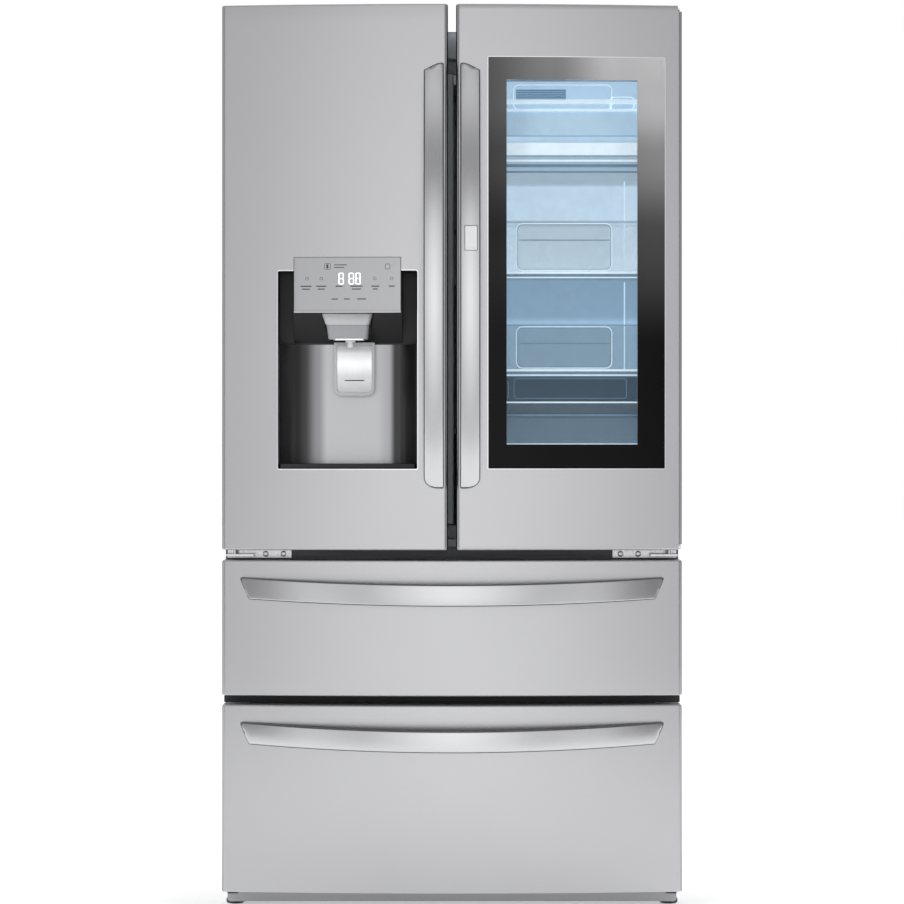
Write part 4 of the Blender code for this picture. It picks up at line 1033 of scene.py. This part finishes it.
def tapered(bm, rows, y, radius):
    """A loft of rounded rectangles across x and y, one for each (left, right, z) row."""
    loft(bm, [[(a, b, z) for a, b in round_rect((left, right), y, radius, 4)] for left, right, z in rows])


def build_chute():
    bm = bmesh.new()
    upper = ((-256, -156, 1172), (-255.5, -156.5, 1171), (-249, -162, 1152), (-247, -164, 1150))
    tapered(bm, upper, (-377, -336), 8)
    tapered(bm, ((-247, -163, 1150), (-243, -165, 1124), (-242, -166, 1122)), (-375, -338), 8)
    item = make("chute_body", bm, "left_door", "chute_grey", ("ice_chute",))
    second_look(item, "grey_moulded", lambda centre, normal: centre.z < 1149.5)
    rim = bmesh.new()
    band(rim, "Z", (-236, -168), (-376, -337), 8, ((0, 1120), (3, 1120), (3, 1123), (0, 1123)))
    make("chute_rim", rim, "left_door", "bright_trim")
    plates(
        "water_nozzle", "left_door", "paddle_white",
        ("Z", (-206, -194), (-362, -351), (1106, 1122), 5, 1.2),
        ("Z", (-210, -190), (-364, -349), (1116, 1121), 6, 1),
    )
    rim = bmesh.new()
    profile = ((0, -348.5), (1, -349), (5, -349), (6, -347), (6, -342.5), (0, -342.5))
    band(rim, "Y", (-232.5, -152.5), (1011.5, 1116.5), (1.5, 1.5, 15, 15), profile)
    make("paddle_frame", rim, "paddle", "rim_grey")
    plate = bmesh.new()
    slab(plate, "Y", (-227.5, -157.5), (1016.5, 1112), (-346.5, -342.3), (1.5, 1.5, 11, 11), 0.9)
    item = link("paddle_plate", plate)
    slit = bmesh.new()
    slab(slit, "Y", (-212, -173), (1040.6, 1042.6), (-360, -344.5), 1.4, 0.3)
    carve(item, slit)
    # The paddle plate glows as painted light, brightest above its middle and darker toward its ends as
    # painted shade.
    dress(item, "paddle", "paddle_painted_glow", ("dispenser_paddle",))
    # The inside of the slit is dark as painted shade.
    second_look(item, "dark_print_and_shade", lambda centre, normal: 1039 < centre.z < 1044 and centre.y > -345.5)


# Cabinet, inside and base


def paint_nodes():
    """CAD nodes that keep their shape."""
    looks = {
        "outer_case": "case_paint",
        "insulation": "foam_cream",
        "fridge_liner": "white_moulded",
        "freezer_liner": "white_moulded",
        "back_panel": "zinc_sheet",
        "base_frame": "zinc_sheet",
        "drawer_slides": "zinc_sheet",
    }
    for node, look in looks.items():
        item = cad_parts[node]
        item.data.materials.clear()
        item.data.materials.append(materials[look])


def build_seals():
    bellows = ((0, -296.8), (1.5, -296.5), (5, -297.5), (8, -296.5), (11, -296.8), (12, -299))
    bellows += ((10.5, -303), (11.8, -306), (11, -309.5), (2, -309.5), (0.4, -306), (1.6, -303))
    plans = (
        ("left_door_seal", (-434, -20), (716, 1730), "left_door", "left_door_gasket"),
        ("right_door_seal", (20, 434), (716, 1730), "right_door", "right_door_gasket"),
        ("upper_drawer_seal", (-434, 434), (425, 685), "upper_drawer", "upper_drawer_gasket"),
        ("lower_drawer_seal", (-434, 434), (56, 401), "lower_drawer", "lower_drawer_gasket"),
    )
    for name, x, z, body, node in plans:
        bm = bmesh.new()
        band(bm, "Y", x, z, 4, bellows, 4)
        make(name, bm, body, "rubber_grey", (node,))


def bolt(bm, axis, a, b, along, radius, out):
    """A flanged screw head that stands out from its seat by out."""
    rise = math.copysign(1, out)
    profile = (
        (radius * 1.3, along),
        (radius * 1.3, along + 0.25 * out),
        (radius, along + 0.35 * out),
        (radius, along + out - 0.3 * rise),
        (radius - 0.5, along + out),
        (radius * 0.45, along + out),
        (radius * 0.4, along + 0.6 * out),
    )
    turned(bm, profile, (a, b), axis, 12)


def build_hinges():
    for side, word in ((-1, "left"), (1, "right")):
        rounded_copy("mid_bracket_" + word, "mid_hinge_" + word, "cabinet", "bolt_steel", 0.7)
        rounded_copy("top_bracket_" + word, "top_hinge_" + word, "cabinet", "zinc_sheet", 0.7)
        rounded_copy("hinge_hood_" + word, "hinge_cover_" + word, "cabinet", "cover_plastic", 1.0)
        bolts = bmesh.new()
        for x in (335, 370):
            bolt(bolts, "Y", side * x, 698, -299.4, 4.6, -4)
        make("mid_bolts_" + word, bolts, "cabinet", "bolt_steel")
        screws = bmesh.new()
        for y in (-160, -215):
            bolt(screws, "Z", side * 392, y, CASE_TOP + 5, 6, 5)
        make("top_screws_" + word, screws, "cabinet", "bolt_steel")


def build_cabinet():
    # The rails are dark as painted shade in the gaps between the fronts.
    rounded_copy("cross_rail_bar", "cross_rail", "cabinet", "rail_steel_painted_shade", 1.2)
    rounded_copy("drawer_rail_bar", "drawer_rail", "cabinet", "rail_steel_painted_shade", 1.2)
    rounded_copy("cord_entry", "cord_gland", "cabinet", "dark_moulded", 0.8)
    plates(
        "kick_plate", "cabinet", "kick_grey",
        ("Y", (-446, 446), (8, 33), (-306, -298), 6, 1.6),
        replaced=("base_grille",),
    )
    rounded_copy("cold_duct", "air_duct", "cabinet", "white_moulded", 1.0)
    rounded_copy("mullion_post", "flipper_mullion", "mullion", "white_moulded", 0.6)
    ends = bmesh.new()
    for side in (-1, 1):
        slab(ends, "Y", mirrored((425, 446), side), (24, 33), (-307.5, -305), 1.5, 0.6)
    make("kick_end_caps", ends, "cabinet", "dark_moulded")
    # A dark strip across the gap between the drawers is painted shade.
    plates(
        "drawer_gap_painted_shade", "cabinet", "dark_moulded",
        ("Y", (-453, 453), (403, 423.5), (-300, -298.8), 1, 0.4),
    )
    plates(
        "mullion_guides", "cabinet", "white_moulded",
        ("Z", (-32, 32), (-262, -236), (1657, 1682.5), 5, 2),
        ("Z", (-32, 32), (-262, -236), (727.5, 754), 5, 2),
    )
    strips = bmesh.new()
    for low in (800, 1225):
        slab(strips, "Y", (-29, -11), (low, low + 330), (-295.9, -294.6), 2, 0.4)
    make("mullion_strips", strips, "mullion", "rubber_grey")


def build_back():
    ribs = bmesh.new()
    for x in (-330, -110, 110, 330):
        slab(ribs, "Y", (x - 55, x + 55), (420, 1640), (BACK - 0.4, BACK + 1.8), 20, 1.4)
    make("back_pressings", ribs, "cabinet", "zinc_sheet")
    plates(
        "rear_hem", "cabinet", "case_paint",
        ("Y", (-449, 449), (1728, 1735.6), (457.2, BACK), 1, 0.6),
    )
    cover = bmesh.new()
    slab(cover, "Y", (-90, 415), (70, 292), (BACK - 0.3, BACK + 1.6), 10, 0.9)
    item = link("machine_cover", cover)
    holes = bmesh.new()
    for row in range(5):
        for column in range(4):
            x, z = -60 + 110 * column, 110 + 28 * row
            slab(holes, "Y", (x + 1, x + 89), (z + 1, z + 9), (BACK - 20, BACK + 20), 4, 0.2)
    carve(item, holes)
    dress(item, "cabinet", "case_paint")
    screws = bmesh.new()
    for x in (-435, -220, 0, 220, 435):
        for z in (66, 340, 1000, 1722):
            bolt(screws, "Y", x, z, BACK - 0.3, 4, 3)
    for x, z in ((-82, 80), (-82, 282), (407, 80), (407, 282)):
        bolt(screws, "Y", x, z, BACK + 1.4, 4, 3)
    make("back_screws", screws, "cabinet", "bolt_steel")


def build_inside():
    for word, z in SHELVES:
        edge = bmesh.new()
        span = (-402.7, 402.7), (-175, 335)
        top = z + 14
        profile = ((0, z + 2), (2, z), (13, z), (16, z + 3), (16, z + 11), (13, top), (3, top), (0, z + 11))
        band(edge, "Z", *span, 10, profile, 2)
        make("shelf_" + word + "_frame", edge, "cabinet", "white_moulded", ("shelf_" + word,))
        plates(
            "shelf_" + word + "_pane", "cabinet", "shelf_glass",
            ("Z", (-389, 389), (-161, 321), (z + 6, z + 10), 5, 0.6),
        )
    for side, word in ((-1, "left"), (1, "right")):
        drawer = bmesh.new()
        loft(drawer, tray_loops(mirrored((5, 396), side), CRISPER_Y, CRISPER_Z, 3, 18, 8, 2))
        make("crisper_" + word + "_tub", drawer, word + "_crisper", "clear_plastic", ("crisper_" + word,))
        plates(
            "crisper_" + word + "_pull", word + "_crisper", "white_moulded",
            ("Y", mirrored((70, 330), side), (890, 914), (-174, -168), 8, 2),
            ("Y", mirrored((80, 320), side), (894, 900), (-176, -172), 3, 1),
        )
    plates("cavity_lamp", "cabinet", "lamp_dim", ("Z", (-180, 180), (-150, 80), (1676, 1681), 20, 2))
    rests = bmesh.new()
    for side in (-1, 1):
        for z, start in ((1105, -170), (1225, -170), (1345, 150), (1465, 150)):
            slab(rests, "X", (start, 330), (z, z + 8), mirrored((397, 403), side), 3, 1.2)
    make("shelf_rests", rests, "cabinet", "white_moulded")


def build_drawer_insides():
    for word, z, rear in BASKETS:
        basket = bmesh.new()
        loft(basket, tray_loops((-382, 382), (DOOR_REAR + 0.5, rear), z, 3, 22, 10, 3))
        make(word + "_tub", basket, word, "white_moulded", (word + "_basket",))
        ribs = bmesh.new()
        for side in (-1, 1):
            for i in range(9):
                y = -270 + (rear + 230) * i / 8
                slab(ribs, "X", (y, y + 8), (z[0] + 20, z[1] - 22), mirrored((374, 380.5), side), 3, 1)
        make(word + "_ribs", ribs, word, "white_moulded")


def build_left_door_inside():
    x = (-389.5, -62.5)
    y = (DOOR_REAR + 0.5, -215)
    tub = bmesh.new()
    loft(tub, tray_loops(x, y, LEFT_BIN_Z, 3, 14, 4, 2))
    make("left_bin_tub", tub, "left_door", "clear_plastic", ("left_door_bin",))
    ice = bmesh.new()
    loft(ice, tray_loops(within(x, 10), y, ICE_BIN_Z, 3, 14, 5, 2))
    make("ice_bin_tub", ice, "left_door", "clear_plastic", ("ice_bin",))
    plates(
        "ice_door_lid", "ice_room_door", "white_moulded",
        ("Y", (-391, -56), (1284, 1662), (-205, -197), 10, 2.5),
        replaced=("ice_door",),
    )
    vents = bmesh.new()
    for i in range(6):
        slab(vents, "Y", (-330, -230), (1610 - 9 * i, 1614 - 9 * i), (-197.5, -196), 2, 0.5)
    slab(vents, "Y", (-86, -70), (1440, 1510), (-197.5, -193.5), 6, 1.4)
    make("ice_door_trim", vents, "ice_room_door", "grey_moulded")


def build_machine():
    can = bmesh.new()
    profile = [(4, 52.5), (60, 52.5), (66, 57), (84, 66), (86, 100), (88, 104), (88, 110), (86, 114)]
    profile += [(86, 162), (82, 182), (72, 198), (52, 210), (24, 216), (4, 216.2)]
    turned(can, profile, COMPRESSOR_AT, "Z", 48)
    make("compressor_can", can, "cabinet", "black_enamel", ("compressor",))
    rounded_copy("fan_rotor", "condenser_fan", "fan", "dark_moulded", 0.5)
    for side, word in ((-1, "left"), (1, "right")):
        foot = bmesh.new()
        place = (side * FOOT_AT[0], FOOT_AT[1])
        rows = [(4, 0), (15.5, 0), (17, 1), (18, 3), (18, 8), (16.5, 10), (12, 11), (6.4, 12)]
        for i in range(14):
            rows.append((6.8 if i % 2 else 5.9, 14 + 2.1 * i))
        rows.append((4, 44.5))
        turned(foot, rows, place, "Z", 30)
        make("levelling_foot_" + word, foot, word + "_foot", "dark_moulded", ("foot_" + word,))
        wheel = bmesh.new()
        middle, axle_y, axle_z = side * ROLLER_AT[0], ROLLER_AT[1], ROLLER_AT[2]
        profile = ((4.8, -10), (12, -10), (13, -8), (17, -8), (19.5, -10), (21, -9.4), (22, -7.5))
        profile += ((22, 7.5), (21, 9.4), (19.5, 10), (17, 8), (13, 8), (12, 10), (4.8, 10))
        loops = []
        angles = [2 * math.pi * i / 40 for i in range(40)]
        for radius, step in profile:
            ring = ((axle_y + radius * math.cos(t), axle_z + radius * math.sin(t)) for t in angles)
            loops.append([(middle + step, y, z) for y, z in ring])
        loft(wheel, loops, closed=True)
        make("roller_wheel_" + word, wheel, word + "_roller", "dark_moulded", ("roller_" + word,))


# Studio


def build_world():
    """Soft daylight from all round that is brightest straight ahead of the fronts."""
    world = bpy.data.worlds.new("studio")
    bpy.context.scene.world = world
    world.use_nodes = True
    nodes, links = world.node_tree.nodes, world.node_tree.links
    background = nodes["Background"]
    place = nodes.new("ShaderNodeTexCoord")
    split = nodes.new("ShaderNodeSeparateXYZ")
    links.new(place.outputs["Generated"], split.inputs["Vector"])
    ahead = spread(nodes, links, split.outputs["Y"], 0.0, 1.0, 0.3, -1.0)
    ramp = nodes.new("ShaderNodeValToRGB")
    levels = ((0.0, 0.78), (0.231, 0.72), (0.615, 0.5), (0.775, 0.27), (0.837, 0.3), (0.885, 0.84))
    levels += ((0.928, 0.78), (0.962, 0.6), (0.978, 0.88), (0.9925, 1.06), (1.0, 1.32))
    fill_ramp(ramp, levels, 1.01)
    links.new(ahead, ramp.inputs["Fac"])
    rise = nodes.new("ShaderNodeValToRGB")
    heights = ((0.0, 1.0), (0.22, 1.0), (0.31, 0.42), (0.385, 0.4), (0.46, 0.9), (0.52, 1.1), (1.0, 1.2))
    fill_ramp(rise, heights)
    links.new(split.outputs["Z"], rise.inputs["Fac"])
    product = nodes.new("ShaderNodeMixRGB")
    product.blend_type = "MULTIPLY"
    product.inputs["Fac"].default_value = 1.0
    links.new(ramp.outputs["Color"], product.inputs["Color1"])
    links.new(rise.outputs["Color"], product.inputs["Color2"])
    sides = spread(nodes, links, split.outputs["X"], 1.0, 0.72, 0.35, 0.75)
    dimmed = nodes.new("ShaderNodeVectorMath")
    dimmed.operation = "SCALE"
    links.new(product.outputs["Color"], dimmed.inputs[0])
    links.new(sides, dimmed.inputs["Scale"])
    path = nodes.new("ShaderNodeLightPath")
    shown = nodes.new("ShaderNodeMixRGB")
    shown.inputs["Color2"].default_value = (1.0, 1.0, 1.0, 1.0)
    links.new(path.outputs["Is Camera Ray"], shown.inputs["Fac"])
    links.new(dimmed.outputs["Vector"], shown.inputs["Color1"])
    links.new(shown.outputs["Color"], background.inputs["Color"])
    background.inputs["Strength"].default_value = 1.0


def soft_light(name, place, power):
    """A disk lamp that adds light but no reflection."""
    lamp = bpy.data.lights.new(name, "AREA")
    lamp.shape = "DISK"
    lamp.size = 3.0
    lamp.energy = power
    item = bpy.data.objects.new(name, lamp)
    item.location = place
    item.rotation_mode = "QUATERNION"
    item.rotation_quaternion = (Vector(LIGHT_AIM) - Vector(place)).to_track_quat("-Z", "Y")
    item.visible_glossy = False
    bpy.context.scene.collection.objects.link(item)


def build_studio():
    bm = bmesh.new()
    slab(bm, "Z", (-16000, 16000), (-2600, 30000), (-20, 0), 1000, 2)
    floor = link("studio_floor", bm)
    material, nodes, links, shader = new_material("pale_floor")
    cloud = spread(nodes, links, noise(nodes, links, (1, 1, 1), 1.5), 0.985, 1.0)
    links.new(tint(nodes, links, (0.93, 0.93, 0.93), cloud), shader.inputs["Base Color"])
    # The floor's glow is dimmed in a patch ahead of the fronts, a painted shade that darkens the floor
    # reflected in the lower fronts.
    painted_shade_ahead = along_axis(nodes, links, "Y", ((-2600, 1.0), (-2350, 0.42), (-900, 0.3), (200, 1.0)))
    wide = along_axis(nodes, links, "X", ((-7000, 1.0), (-1800, 0.0), (1800, 0.0), (7000, 1.0)))
    lighter = nodes.new("ShaderNodeMath")
    lighter.operation = "MAXIMUM"
    links.new(painted_shade_ahead, lighter.inputs[0])
    links.new(wide, lighter.inputs[1])
    glow = times(nodes, links, cloud, lighter.outputs["Value"])
    links.new(tint(nodes, links, (0.93, 0.93, 0.93), glow), shader.inputs["Emission Color"])
    shader.inputs["Emission Strength"].default_value = 0.5
    shader.inputs["Roughness"].default_value = 0.85
    floor.data.materials.append(material)
    build_world()
    soft_light("key", (-2.6, -4.2, 3.6), 90)
    soft_light("fill", (3.4, -3.0, 2.6), 40)
    soft_light("rear", (1.0, 4.2, 3.2), 80)
    camera_data = bpy.data.cameras.new("camera")
    camera_data.lens = CAMERA_LENS
    camera_data.sensor_width = SENSOR_WIDTH
    camera = bpy.data.objects.new("camera", camera_data)
    camera.location = [place * MM for place in CAMERA_PLACE]
    camera.rotation_euler = (math.pi / 2, 0.0, 0.0)
    bpy.context.scene.collection.objects.link(camera)
    bpy.context.scene.camera = camera
    bpy.context.scene.view_settings.view_transform = "Standard"


def main():
    build_studio()
    paint_nodes()
    build_fronts()
    build_handles()
    build_glass()
    build_door_bins()
    build_showcase_inside()
    build_panel()
    build_niche()
    build_chute()
    build_seals()
    build_hinges()
    build_cabinet()
    build_back()
    build_inside()
    build_drawer_insides()
    build_left_door_inside()
    build_machine()


main()
